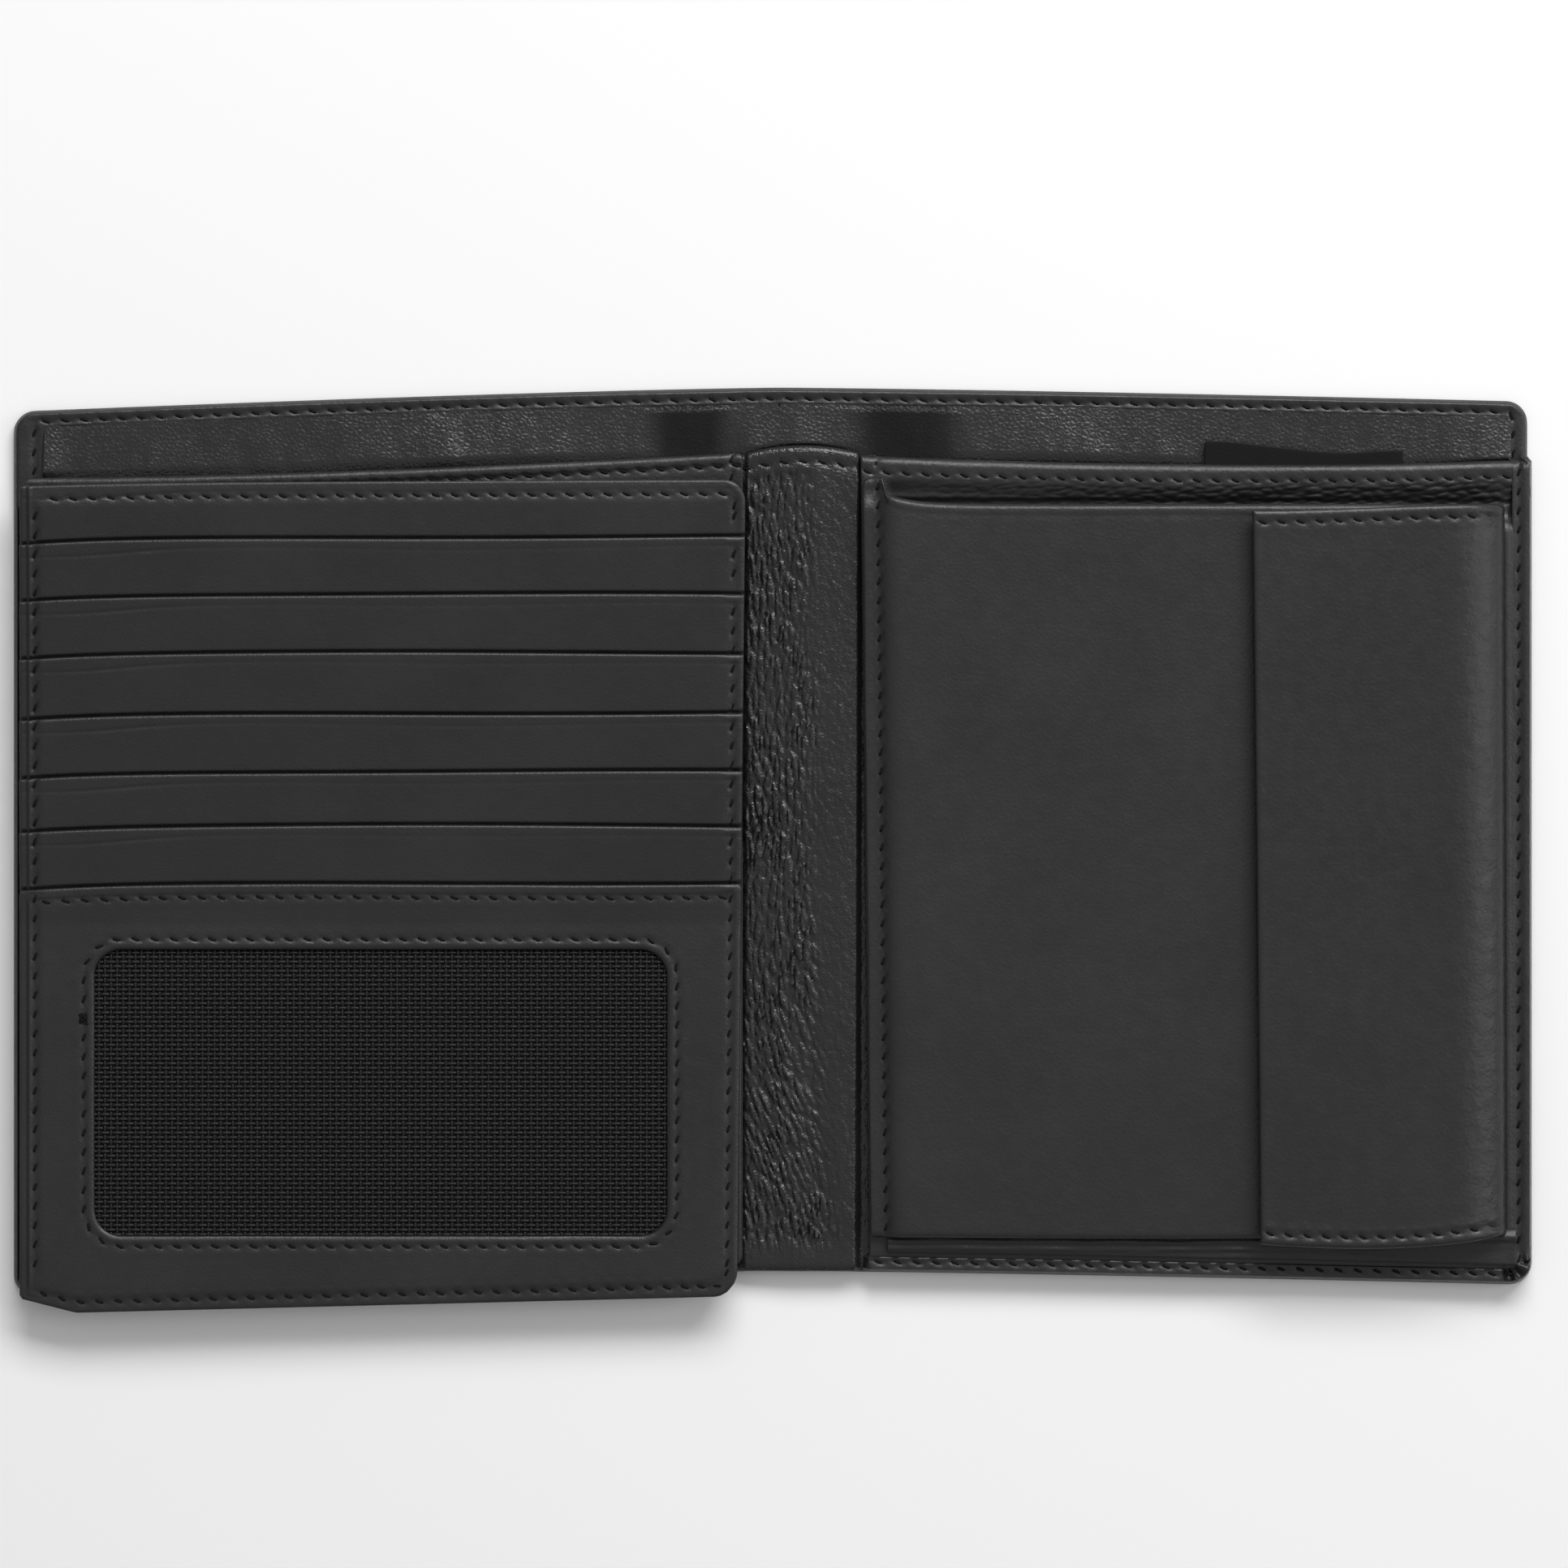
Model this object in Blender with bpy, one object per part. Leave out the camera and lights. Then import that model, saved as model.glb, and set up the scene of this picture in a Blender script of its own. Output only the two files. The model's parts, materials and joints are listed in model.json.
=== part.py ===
"""A black leather wallet, lying open on its back.

The cover folds along two creases beside the spine. The left half carries a leaf of card pockets that flips out to
the left, and the right half carries a coin pocket closed by a flap with a press stud. A full-width compartment for
notes lies between the cover's lining and the inner panels.

Metres, +Z up. The origin is on the resting plane, in the middle of the spine. +X runs towards the coin pocket, +Y
towards the open edge of the note compartment. Leather sheets are stacked in Z with a small gap between neighbours.
"""

import math
from collections import namedtuple

import bmesh
import bpy
from mathutils import Matrix, Vector

MM = 0.001

# ---- driving dimensions ----------------------------------------------------------------------------------------

GAP = 0.3 * MM  # clear space between neighbouring pieces
CREASE_X = 4.3 * MM  # each crease's distance from the middle of the spine
CREASE_Z = 2.75 * MM  # height of both crease axes, just above the spine strip

LEFT_END = -102.4 * MM
RIGHT_END = 100.6 * MM
HALF_HEIGHT = 59.1 * MM  # the cover's edges above and below the middle of the spine
LEFT_DROOP = 3.3 * MM  # each half runs down towards -Y at its outer end by this much
RIGHT_DROOP = 1.9 * MM
DROOP_POWER = 1.3
COVER_CORNER = 2.6 * MM
TURNED_EDGE = 1.7 * MM  # cover leather turned in round the lining

PANEL_TOP = 50.8 * MM
RIGHT_PANEL_TOP = 50.2 * MM
PANEL_BOTTOM = -58.0 * MM
PANEL_CORNER = 1.2 * MM
LEFT_PANEL_END = -101.0 * MM
RIGHT_PANEL_START = 10.8 * MM
RIGHT_PANEL_END = 97.3 * MM
SLIP_POCKET_TOP = 40.0 * MM

TAB_START = 56.7 * MM
TAB_END = 83.2 * MM
TAB_TOP = 53.3 * MM
TAB_BOTTOM = 44.0 * MM
TAB_CORNER = 0.8 * MM

COIN_START = 11.6 * MM
COIN_END = 96.0 * MM
COIN_TOP = 43.7 * MM
COIN_BOTTOM = -53.6 * MM
COIN_SEAM_RUN = 4.0 * MM  # the front wall comes down to the back wall over this width at its left seam
COIN_CORNER = 1.0 * MM
TOP_PLEAT = 2.1 * MM  # how far each gusset pleat stands out beyond the coin pocket's edge
BOTTOM_PLEAT = 3.3 * MM
PLEAT_INSET = 1.5 * MM
PLEAT_WALL = 0.4 * MM

FLAP_START = 62.7 * MM
FLAP_END = 95.9 * MM
FLAP_TOP = 43.5 * MM
FLAP_BOTTOM = -53.9 * MM
FLAP_CORNER = 1.2 * MM
FLAP_LINING_INSET = 0.9 * MM
FLAP_ROOT_START = 96.6 * MM
FLAP_ROOT_WIDTH = 0.6 * MM
FLAP_ROOT_HEIGHT = 3.0 * MM
FLAP_HINGE_X = 97.0 * MM
FLAP_HINGE_Z = 5.4 * MM

LEAF_LEFT = -101.1 * MM
LEAF_RIGHT = -4.5 * MM
LEAF_TOP = 46.6 * MM
LEAF_TOP_DROOP = 1.4 * MM
LEAF_BOTTOM = -62.1 * MM
LEAF_DROOP = 2.4 * MM
LEAF_CORNER = 3.0 * MM
LEAF_CHAMFER_RUN = 7.5 * MM  # the sewn bottom corner is cut off over this width
LEAF_CHAMFER_RISE = 2.1 * MM
LEAF_HINGE_X = -101.4 * MM
LEAF_HINGE_Z = 4.5 * MM
LEAF_BACKING_INSET = 1.5 * MM

SLOT_EDGES = (38.3 * MM, 30.7 * MM, 23.0 * MM, 14.9 * MM, 7.1 * MM, 0.0 * MM)  # top edges of the card pockets
SLOT_ARCH = 0.6 * MM  # each slot edge rises this much in its middle
POCKET_DEPTH = 10.8 * MM  # height of each pocket's leather, partly under the next pocket
POCKET_ROOT_Z = 4.8 * MM
POCKET_LEATHER = 0.35 * MM
POCKET_SLOPE = 0.095  # each pocket rises towards its top edge to lie over the one above it

ID_TOP = -7.7 * MM
ID_FLAT_Z = 5.3 * MM
ID_BEND_Y = -12.4 * MM  # above this line the frame rises over the last card pocket
WINDOW_LEFT = -91.1 * MM
WINDOW_RIGHT = -15.0 * MM
WINDOW_TOP = -16.0 * MM
WINDOW_BOTTOM = -54.05 * MM
WINDOW_CORNER = 3.5 * MM
NET_MARGIN = 2.3 * MM

SNAP_X = 75.6 * MM
SNAP_Y = -2.5 * MM
SNAP_SEGMENTS = 24
STUD_POST_RADIUS = 1.4 * MM
SOCKET_BORE_RADIUS = 1.7 * MM
SOCKET_RADIUS = 3.6 * MM
STUD_FLANGE_RADIUS = 4.0 * MM
STUD_FLANGE_THICKNESS = 0.2 * MM
STUD_HEIGHT = 1.0 * MM
SOCKET_DEPTH = 0.4 * MM  # how far the socket's ring stands below the flap's lining
RIVET_HEAD_RADIUS = 3.6 * MM
RIVET_SHANK_RADIUS = 0.8 * MM
CUTTER_REACH = 3.0 * MM  # cutters run past the sheets they cut
MERGE_DISTANCE = 0.001 * MM
SHARP_ANGLE = math.radians(35)

SECTION_STEP = 13.0 * MM  # spacing of the cross-sections along X
CORNER_STEPS = 4

# Each sheet's underside height and thickness.
Layer = namedtuple("Layer", "z thickness")
COVER = Layer(0.0, 0.7 * MM)
LINING = Layer(1.0 * MM, 0.3 * MM)
TAB = Layer(1.6 * MM, 0.4 * MM)
SPINE_STRIP = Layer(1.8 * MM, 0.6 * MM)
LEFT_PANEL = Layer(1.8 * MM, 0.6 * MM)
SLIP_POCKET = Layer(2.7 * MM, 0.4 * MM)
RIGHT_PANEL = Layer(2.3 * MM, 0.5 * MM)
COIN_BACK = Layer(3.1 * MM, 0.4 * MM)
COIN_FRONT = Layer(4.6 * MM, 0.5 * MM)
FLAP_LINING = Layer(6.3 * MM, 0.3 * MM)
FLAP = Layer(6.95 * MM, 0.6 * MM)
LEAF_BACK = Layer(3.5 * MM, 0.5 * MM)
LEAF_BACKING = Layer(4.3 * MM, 0.2 * MM)
NET = Layer(4.8 * MM, 0.2 * MM)


# ---- materials ---------------------------------------------------------------------------------------------------


def material(name, colour, roughness, metallic=0.0):
    """A Principled BSDF material."""
    made = bpy.data.materials.new(name)
    made.use_nodes = True
    shader = made.node_tree.nodes["Principled BSDF"]
    shader.inputs["Base Color"].default_value = (*colour, 1.0)
    shader.inputs["Roughness"].default_value = roughness
    shader.inputs["Metallic"].default_value = metallic
    return made


def cover_leather(name):
    return material(name + "_leather", (0.030, 0.030, 0.032), 0.48)


def pocket_leather(name):
    return material(name + "_leather", (0.026, 0.026, 0.028), 0.55)


def lining_cloth(name):
    return material(name + "_lining", (0.045, 0.045, 0.047), 0.40)


def black_net(name):
    return material(name + "_net", (0.015, 0.015, 0.016), 0.60)


def snap_metal(name):
    return material(name + "_metal", (0.30, 0.29, 0.27), 0.30, 1.0)


# ---- outlines ----------------------------------------------------------------------------------------------------


def droop(x):
    """How far the cover's outline has run down towards -Y at x."""
    reach, amount = (RIGHT_END, RIGHT_DROOP) if x > 0 else (-LEFT_END, LEFT_DROOP)
    return amount * (abs(x) / reach) ** DROOP_POWER


def level(height):
    """An edge that follows the cover's droop at this height."""
    return lambda x: height - droop(x)


def corner_cut(distance, radius):
    """How much a round corner takes off the height at this distance from the sheet's end."""
    inside = min(radius, max(0.0, radius - distance))
    return radius - math.sqrt(radius**2 - inside**2)


def leaf_bottom(x):
    """The leaf's lower edge: it runs down to the left, up to the cut-off corner."""
    along = (LEAF_RIGHT - x) / (LEAF_RIGHT - LEAF_LEFT)
    chamfer = max(0.0, (LEAF_LEFT + LEAF_CHAMFER_RUN - x) / LEAF_CHAMFER_RUN)
    return LEAF_BOTTOM - LEAF_DROOP * along + LEAF_CHAMFER_RISE * chamfer


def leaf_top(x):
    """The leaf's upper edge, which runs down a little to the left."""
    return LEAF_TOP - LEAF_TOP_DROOP * (LEAF_RIGHT - x) / (LEAF_RIGHT - LEAF_LEFT)


def slot_edge(height):
    """A card pocket's top edge: a shallow arch across the leaf."""
    middle = (LEAF_LEFT + LEAF_RIGHT) / 2
    half_width = (LEAF_RIGHT - LEAF_LEFT) / 2
    return lambda x: height + SLOT_ARCH * (1 - ((x - middle) / half_width) ** 2)


# ---- shape builders ----------------------------------------------------------------------------------------------


def add_object(name, mesh_data, finish, pivot):
    """A named object from a bmesh in world space, with its origin on its pivot."""
    bmesh.ops.recalc_face_normals(mesh_data, faces=mesh_data.faces)
    mesh = bpy.data.meshes.new(name)
    mesh_data.to_mesh(mesh)
    mesh_data.free()
    mesh.materials.append(finish)
    made = bpy.data.objects.new(name, mesh)
    bpy.context.scene.collection.objects.link(made)
    if pivot is not None:
        mesh.transform(Matrix.Translation(-pivot.matrix_world.translation))
        made.parent = pivot
    return made


def section_places(start, end, start_corner, end_corner):
    """X of each cross-section: close together round the corners and even between them."""
    turns = [math.pi / 2 * i / CORNER_STEPS for i in range(CORNER_STEPS)]
    places = [start + start_corner * (1 - math.cos(a)) for a in turns if start_corner > 0]
    inner_start, inner_end = start + start_corner, end - end_corner
    count = max(1, round((inner_end - inner_start) / SECTION_STEP))
    places += [inner_start + (inner_end - inner_start) * i / count for i in range(count + 1)]
    places += [end - end_corner * (1 - math.cos(a)) for a in reversed(turns) if end_corner > 0]
    return places


def loft(rings):
    """A closed body through rings of equal length, capped at both ends."""
    body = bmesh.new()
    rows = [[body.verts.new(point) for point in ring] for ring in rings]
    count = len(rings[0])
    for near, far in zip(rows, rows[1:]):
        for i in range(count):
            j = (i + 1) % count
            body.faces.new((near[i], near[j], far[j], far[i]))
    body.faces.new(rows[0])
    body.faces.new(rows[-1])
    return body


def sheet(span, edges, underside, thickness, corners=(0.0, 0.0), round_corners=True, bends=()):
    """A thin sheet over span (x, x) and between edges (lower, upper), which are functions of x.

    underside(x, y) is the height of its lower face. bends are the y values where that height changes slope.
    corners sets where cross-sections crowd together, and round_corners whether those ends are rounded too.
    """
    start, end = span
    lower, upper = edges
    rings = []
    for x in section_places(start, end, *corners):
        cut = 0.0
        if round_corners:
            cut = max(corner_cut(x - start, corners[0]), corner_cut(end - x, corners[1]))
        across = [lower(x) + cut, *bends, upper(x) - cut]
        bottom = [(x, y, underside(x, y)) for y in across]
        top = [(x, y, z + thickness) for x, y, z in reversed(bottom)]
        rings.append(bottom + top)
    return loft(rings)


def flat_sheet(span, edges, layer, corners=(0.0, 0.0), round_corners=True):
    """A sheet that lies flat in its layer."""
    return sheet(span, edges, lambda x, y: layer.z, layer.thickness, corners, round_corners)


def channel(span, edge, outward, depth):
    """A gusset pleat: a U-shaped fold of leather beside the coin pocket's edge, open towards the pocket."""
    low, high = COIN_BACK.z, COIN_FRONT.z + COIN_FRONT.thickness
    near, far = GAP, depth
    profile = (
        (near, low),
        (far, low),
        (far, high),
        (near, high),
        (near, high - PLEAT_WALL),
        (far - PLEAT_WALL, high - PLEAT_WALL),
        (far - PLEAT_WALL, low + PLEAT_WALL),
        (near, low + PLEAT_WALL),
    )
    rings = []
    for x in section_places(*span, 0.0, 0.0):
        rings.append([(x, edge(x) + outward * y, z) for y, z in profile])
    return loft(rings)


def turned(profile, closed):
    """A round body at the snap's place, spun from a profile of (radius, height) points."""
    body = bmesh.new()
    points = [body.verts.new((SNAP_X + r, SNAP_Y, z)) for r, z in profile]
    pairs = list(zip(points, points[1:]))
    if closed:
        pairs.append((points[-1], points[0]))
    edges = [body.edges.new(pair) for pair in pairs]
    bmesh.ops.spin(
        body,
        geom=points + edges,
        cent=(SNAP_X, SNAP_Y, 0.0),
        axis=(0.0, 0.0, 1.0),
        angle=2 * math.pi,
        steps=SNAP_SEGMENTS,
    )
    bmesh.ops.remove_doubles(body, verts=body.verts, dist=MERGE_DISTANCE)
    return body


def shade_round(made):
    """Smooth shading with crisp rims."""
    made.data.shade_smooth()
    made.data.set_sharp_from_angle(angle=SHARP_ANGLE)


def cut(target, cutter_body, pivot):
    """Subtracts a cutter from the target with a Boolean modifier."""
    cutter = add_object(target.name + "_cutter", cutter_body, target.data.materials[0], pivot)
    cutter.hide_render = True
    cutter.display_type = "WIRE"
    modifier = target.modifiers.new("opening", "BOOLEAN")
    modifier.operation = "DIFFERENCE"
    modifier.solver = "EXACT"
    modifier.object = cutter


def snap_hole(radius, layer):
    """A cutter for a round hole at the snap's place through one layer."""
    low, high = layer.z - CUTTER_REACH, layer.z + layer.thickness + CUTTER_REACH
    return turned(((0.0, low), (radius, low), (radius, high), (0.0, high)), closed=False)


def pivot_empty(name, place, parent=None):
    """An empty on a joint's axis, which carries the pieces that turn about it."""
    made = bpy.data.objects.new(name, None)
    bpy.context.scene.collection.objects.link(made)
    made.parent = parent
    made.location = Vector(place) - (parent.matrix_world.translation if parent else Vector())
    bpy.context.view_layer.update()
    return made


# ---- right half --------------------------------------------------------------------------------------------------

RIGHT_START = CREASE_X + GAP / 2


def build_right_half():
    """The cover, lining, strip and panel right of the crease, and the note tab."""
    cover = flat_sheet(
        (RIGHT_START, RIGHT_END), (level(-HALF_HEIGHT), level(HALF_HEIGHT)), COVER, (0.0, COVER_CORNER)
    )
    add_object("cover_right", cover, cover_leather("cover_right"), None)

    inner = HALF_HEIGHT - TURNED_EDGE
    lining = flat_sheet((RIGHT_START, RIGHT_END - TURNED_EDGE), (level(-inner), level(inner)), LINING)
    add_object("lining_right", lining, lining_cloth("lining_right"), None)

    strip = flat_sheet(
        (RIGHT_START, RIGHT_PANEL_START - GAP), (level(PANEL_BOTTOM), level(PANEL_TOP)), SPINE_STRIP
    )
    add_object("spine_strip_right", strip, pocket_leather("spine_strip_right"), None)

    panel = flat_sheet(
        (RIGHT_PANEL_START, RIGHT_PANEL_END),
        (level(PANEL_BOTTOM), level(RIGHT_PANEL_TOP)),
        RIGHT_PANEL,
        (0.0, PANEL_CORNER),
    )
    add_object("inner_panel_right", panel, pocket_leather("inner_panel_right"), None)

    tab = flat_sheet((TAB_START, TAB_END), (level(TAB_BOTTOM), level(TAB_TOP)), TAB, (TAB_CORNER, TAB_CORNER))
    add_object("note_tab", tab, pocket_leather("note_tab"), None)


def coin_front_underside(x, y):
    """The front wall comes down to the back wall at its left seam."""
    share = min(1.0, (x - COIN_START) / COIN_SEAM_RUN)
    seam_z = COIN_BACK.z + COIN_BACK.thickness + GAP
    return seam_z + (COIN_FRONT.z - seam_z) * math.sin(share * math.pi / 2)


def build_coin_pocket():
    """Two walls, joined by a gusset pleat along the top and another along the bottom."""
    edges = (level(COIN_BOTTOM), level(COIN_TOP))
    back = flat_sheet((COIN_START, COIN_END), edges, COIN_BACK, (COIN_CORNER, COIN_CORNER))
    add_object("coin_pocket_back", back, pocket_leather("coin_pocket_back"), None)

    front_body = sheet(
        (COIN_START, COIN_END),
        edges,
        coin_front_underside,
        COIN_FRONT.thickness,
        (COIN_SEAM_RUN, 0.0),
        round_corners=False,
    )
    front = add_object("coin_pocket_front", front_body, cover_leather("coin_pocket_front"), None)
    cut(front, snap_hole(RIVET_SHANK_RADIUS + GAP, COIN_FRONT), None)

    span = (COIN_START + COIN_SEAM_RUN, COIN_END - PLEAT_INSET)
    top = channel(span, edges[1], 1, TOP_PLEAT)
    add_object("coin_gusset_top", top, pocket_leather("coin_gusset_top"), None)
    bottom = channel(span, edges[0], -1, BOTTOM_PLEAT)
    add_object("coin_gusset_bottom", bottom, pocket_leather("coin_gusset_bottom"), None)


def build_snap_on_pocket():
    """The press stud on the front wall, and the rivet that holds it from inside the pocket."""
    wall_top = COIN_FRONT.z + COIN_FRONT.thickness
    flange_z = wall_top + GAP
    post_z = flange_z + STUD_FLANGE_THICKNESS
    tip_z = flange_z + STUD_HEIGHT
    stud_profile = (
        (0.0, flange_z),
        (STUD_FLANGE_RADIUS, flange_z),
        (STUD_FLANGE_RADIUS, post_z),
        (STUD_POST_RADIUS, post_z),
        (STUD_POST_RADIUS, tip_z),
        (0.0, tip_z),
    )
    stud = add_object("snap_stud", turned(stud_profile, closed=False), snap_metal("snap_stud"), None)
    shade_round(stud)

    head_top = COIN_FRONT.z - GAP
    head_z = head_top - GAP
    rivet_profile = (
        (0.0, head_z),
        (RIVET_HEAD_RADIUS, head_z),
        (RIVET_HEAD_RADIUS, head_top),
        (RIVET_SHANK_RADIUS, head_top),
        (RIVET_SHANK_RADIUS, wall_top),
        (0.0, wall_top),
    )
    rivet = add_object("snap_rivet", turned(rivet_profile, closed=False), snap_metal("snap_rivet"), None)
    shade_round(rivet)


def build_flap_root():
    """The flap's sewn root: the strip of leather that stands up beside the pocket's mouth."""
    root = flat_sheet(
        (FLAP_ROOT_START, FLAP_ROOT_START + FLAP_ROOT_WIDTH),
        (level(FLAP_BOTTOM), level(FLAP_TOP)),
        Layer(COIN_BACK.z, FLAP_ROOT_HEIGHT),
    )
    add_object("flap_root", root, cover_leather("flap_root"), None)


# ---- coin flap ---------------------------------------------------------------------------------------------------


def build_coin_flap(pivot):
    """The flap over the coin pocket's mouth, its lining, and the stud's socket."""
    outer = flat_sheet(
        (FLAP_START, FLAP_END), (level(FLAP_BOTTOM), level(FLAP_TOP)), FLAP, (FLAP_CORNER, 0.0)
    )
    add_object("flap_outer", outer, cover_leather("flap_outer"), pivot)

    inset = FLAP_LINING_INSET
    lining_body = flat_sheet(
        (FLAP_START + inset, FLAP_END - inset),
        (level(FLAP_BOTTOM + inset), level(FLAP_TOP - inset)),
        FLAP_LINING,
    )
    lining = add_object("flap_lining", lining_body, pocket_leather("flap_lining"), pivot)
    cut(lining, snap_hole(SOCKET_RADIUS + GAP, FLAP_LINING), pivot)

    low = FLAP_LINING.z - SOCKET_DEPTH
    high = FLAP_LINING.z + FLAP_LINING.thickness
    ring = ((SOCKET_BORE_RADIUS, low), (SOCKET_RADIUS, low), (SOCKET_RADIUS, high), (SOCKET_BORE_RADIUS, high))
    socket = add_object("snap_socket", turned(ring, closed=True), snap_metal("snap_socket"), pivot)
    shade_round(socket)


# ---- spine -------------------------------------------------------------------------------------------------------


def build_spine(pivot):
    """The stretch of cover, lining and soft strip between the two creases."""
    half = CREASE_X - GAP / 2
    span = (-half, half)
    cover = flat_sheet(span, (level(-HALF_HEIGHT), level(HALF_HEIGHT)), COVER)
    add_object("cover_spine", cover, cover_leather("cover_spine"), pivot)
    inner = HALF_HEIGHT - TURNED_EDGE
    lining = flat_sheet(span, (level(-inner), level(inner)), LINING)
    add_object("lining_spine", lining, lining_cloth("lining_spine"), pivot)
    strip = flat_sheet(span, (level(PANEL_BOTTOM), level(PANEL_TOP)), SPINE_STRIP)
    add_object("spine_strip", strip, pocket_leather("spine_strip"), pivot)


# ---- left half ---------------------------------------------------------------------------------------------------

LEFT_START = -CREASE_X - GAP / 2


def build_left_half(pivot):
    """The cover, lining and panel left of the crease, and the slip pocket behind the leaf."""
    cover = flat_sheet(
        (LEFT_END, LEFT_START), (level(-HALF_HEIGHT), level(HALF_HEIGHT)), COVER, (COVER_CORNER, 0.0)
    )
    add_object("cover_left", cover, cover_leather("cover_left"), pivot)
    inner = HALF_HEIGHT - TURNED_EDGE
    lining = flat_sheet((LEFT_END + TURNED_EDGE, LEFT_START), (level(-inner), level(inner)), LINING)
    add_object("lining_left", lining, lining_cloth("lining_left"), pivot)
    panel = flat_sheet(
        (LEFT_PANEL_END, LEFT_START),
        (level(PANEL_BOTTOM), level(PANEL_TOP)),
        LEFT_PANEL,
        (PANEL_CORNER, PANEL_CORNER),
    )
    add_object("inner_panel_left", panel, pocket_leather("inner_panel_left"), pivot)
    pocket = flat_sheet(
        (LEFT_PANEL_END + TURNED_EDGE, LEFT_START - 2 * GAP),
        (level(PANEL_BOTTOM), level(SLIP_POCKET_TOP)),
        SLIP_POCKET,
        (PANEL_CORNER, PANEL_CORNER),
    )
    add_object("slip_pocket_left", pocket, pocket_leather("slip_pocket_left"), pivot)


# ---- card leaf ---------------------------------------------------------------------------------------------------


def pocket_underside(root_y):
    """The height of a pocket's lower face: it starts low at root_y and climbs over the pocket above."""
    return lambda x, y: POCKET_ROOT_Z + POCKET_SLOPE * (y - root_y)


def build_leaf_body(pivot):
    """The leaf's back leather and the cloth that the pockets are sewn to."""
    back = flat_sheet((LEAF_LEFT, LEAF_RIGHT), (leaf_bottom, leaf_top), LEAF_BACK, (LEAF_CORNER, LEAF_CORNER))
    add_object("leaf_back", back, cover_leather("leaf_back"), pivot)
    inset = LEAF_BACKING_INSET
    backing = flat_sheet(
        (LEAF_LEFT + inset, LEAF_RIGHT - inset),
        (lambda x: leaf_bottom(x) + inset, lambda x: leaf_top(x) - inset),
        LEAF_BACKING,
        (LEAF_CORNER, LEAF_CORNER),
    )
    add_object("leaf_backing", backing, lining_cloth("leaf_backing"), pivot)


def build_pockets(pivot):
    """The header strip along the leaf's top, then one strip for each card pocket."""
    edges = [("leaf_header", leaf_top, LEAF_TOP)]
    for number, height in enumerate(SLOT_EDGES, start=1):
        edges.append((f"card_pocket_{number}", slot_edge(height), height))
    for name, top_edge, height in edges:
        root_y = height - POCKET_DEPTH
        strip = sheet(
            (LEAF_LEFT, LEAF_RIGHT),
            (lambda x, y=root_y: y, top_edge),
            pocket_underside(root_y),
            POCKET_LEATHER,
        )
        add_object(name, strip, pocket_leather(name), pivot)


def id_frame_underside(x, y):
    """The frame lies flat round its window and rises over the last card pocket."""
    return ID_FLAT_Z + POCKET_SLOPE * max(0.0, y - ID_BEND_Y)


def build_id_window(pivot):
    """The frame panel with its window, and the net stretched behind it."""
    frame_body = sheet(
        (LEAF_LEFT, LEAF_RIGHT),
        (leaf_bottom, slot_edge(ID_TOP)),
        id_frame_underside,
        POCKET_LEATHER,
        (LEAF_CORNER, LEAF_CORNER),
        round_corners=False,
        bends=(ID_BEND_Y,),
    )
    frame = add_object("id_frame", frame_body, pocket_leather("id_frame"), pivot)
    opening = flat_sheet(
        (WINDOW_LEFT, WINDOW_RIGHT),
        (lambda x: WINDOW_BOTTOM, lambda x: WINDOW_TOP),
        Layer(ID_FLAT_Z - CUTTER_REACH, 2 * CUTTER_REACH),
        (WINDOW_CORNER, WINDOW_CORNER),
    )
    cut(frame, opening, pivot)

    net = flat_sheet(
        (WINDOW_LEFT - NET_MARGIN, WINDOW_RIGHT + NET_MARGIN),
        (lambda x: WINDOW_BOTTOM - NET_MARGIN, lambda x: WINDOW_TOP + NET_MARGIN),
        NET,
    )
    add_object("id_window_net", net, black_net("id_window_net"), pivot)


# ---- the wallet --------------------------------------------------------------------------------------------------


def build_wallet():
    for old in list(bpy.data.objects):
        bpy.data.objects.remove(old)
    spine_pivot = pivot_empty("right_crease_axis", (CREASE_X, 0.0, CREASE_Z))
    left_pivot = pivot_empty("left_crease_axis", (-CREASE_X, 0.0, CREASE_Z), spine_pivot)
    leaf_pivot = pivot_empty("leaf_axis", (LEAF_HINGE_X, 0.0, LEAF_HINGE_Z), left_pivot)
    flap_pivot = pivot_empty("flap_axis", (FLAP_HINGE_X, 0.0, FLAP_HINGE_Z))
    build_right_half()
    build_coin_pocket()
    build_snap_on_pocket()
    build_flap_root()
    build_coin_flap(flap_pivot)
    build_spine(spine_pivot)
    build_left_half(left_pivot)
    build_leaf_body(leaf_pivot)
    build_pockets(leaf_pivot)
    build_id_window(leaf_pivot)


build_wallet()
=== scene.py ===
import json
import math
from collections import namedtuple

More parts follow.
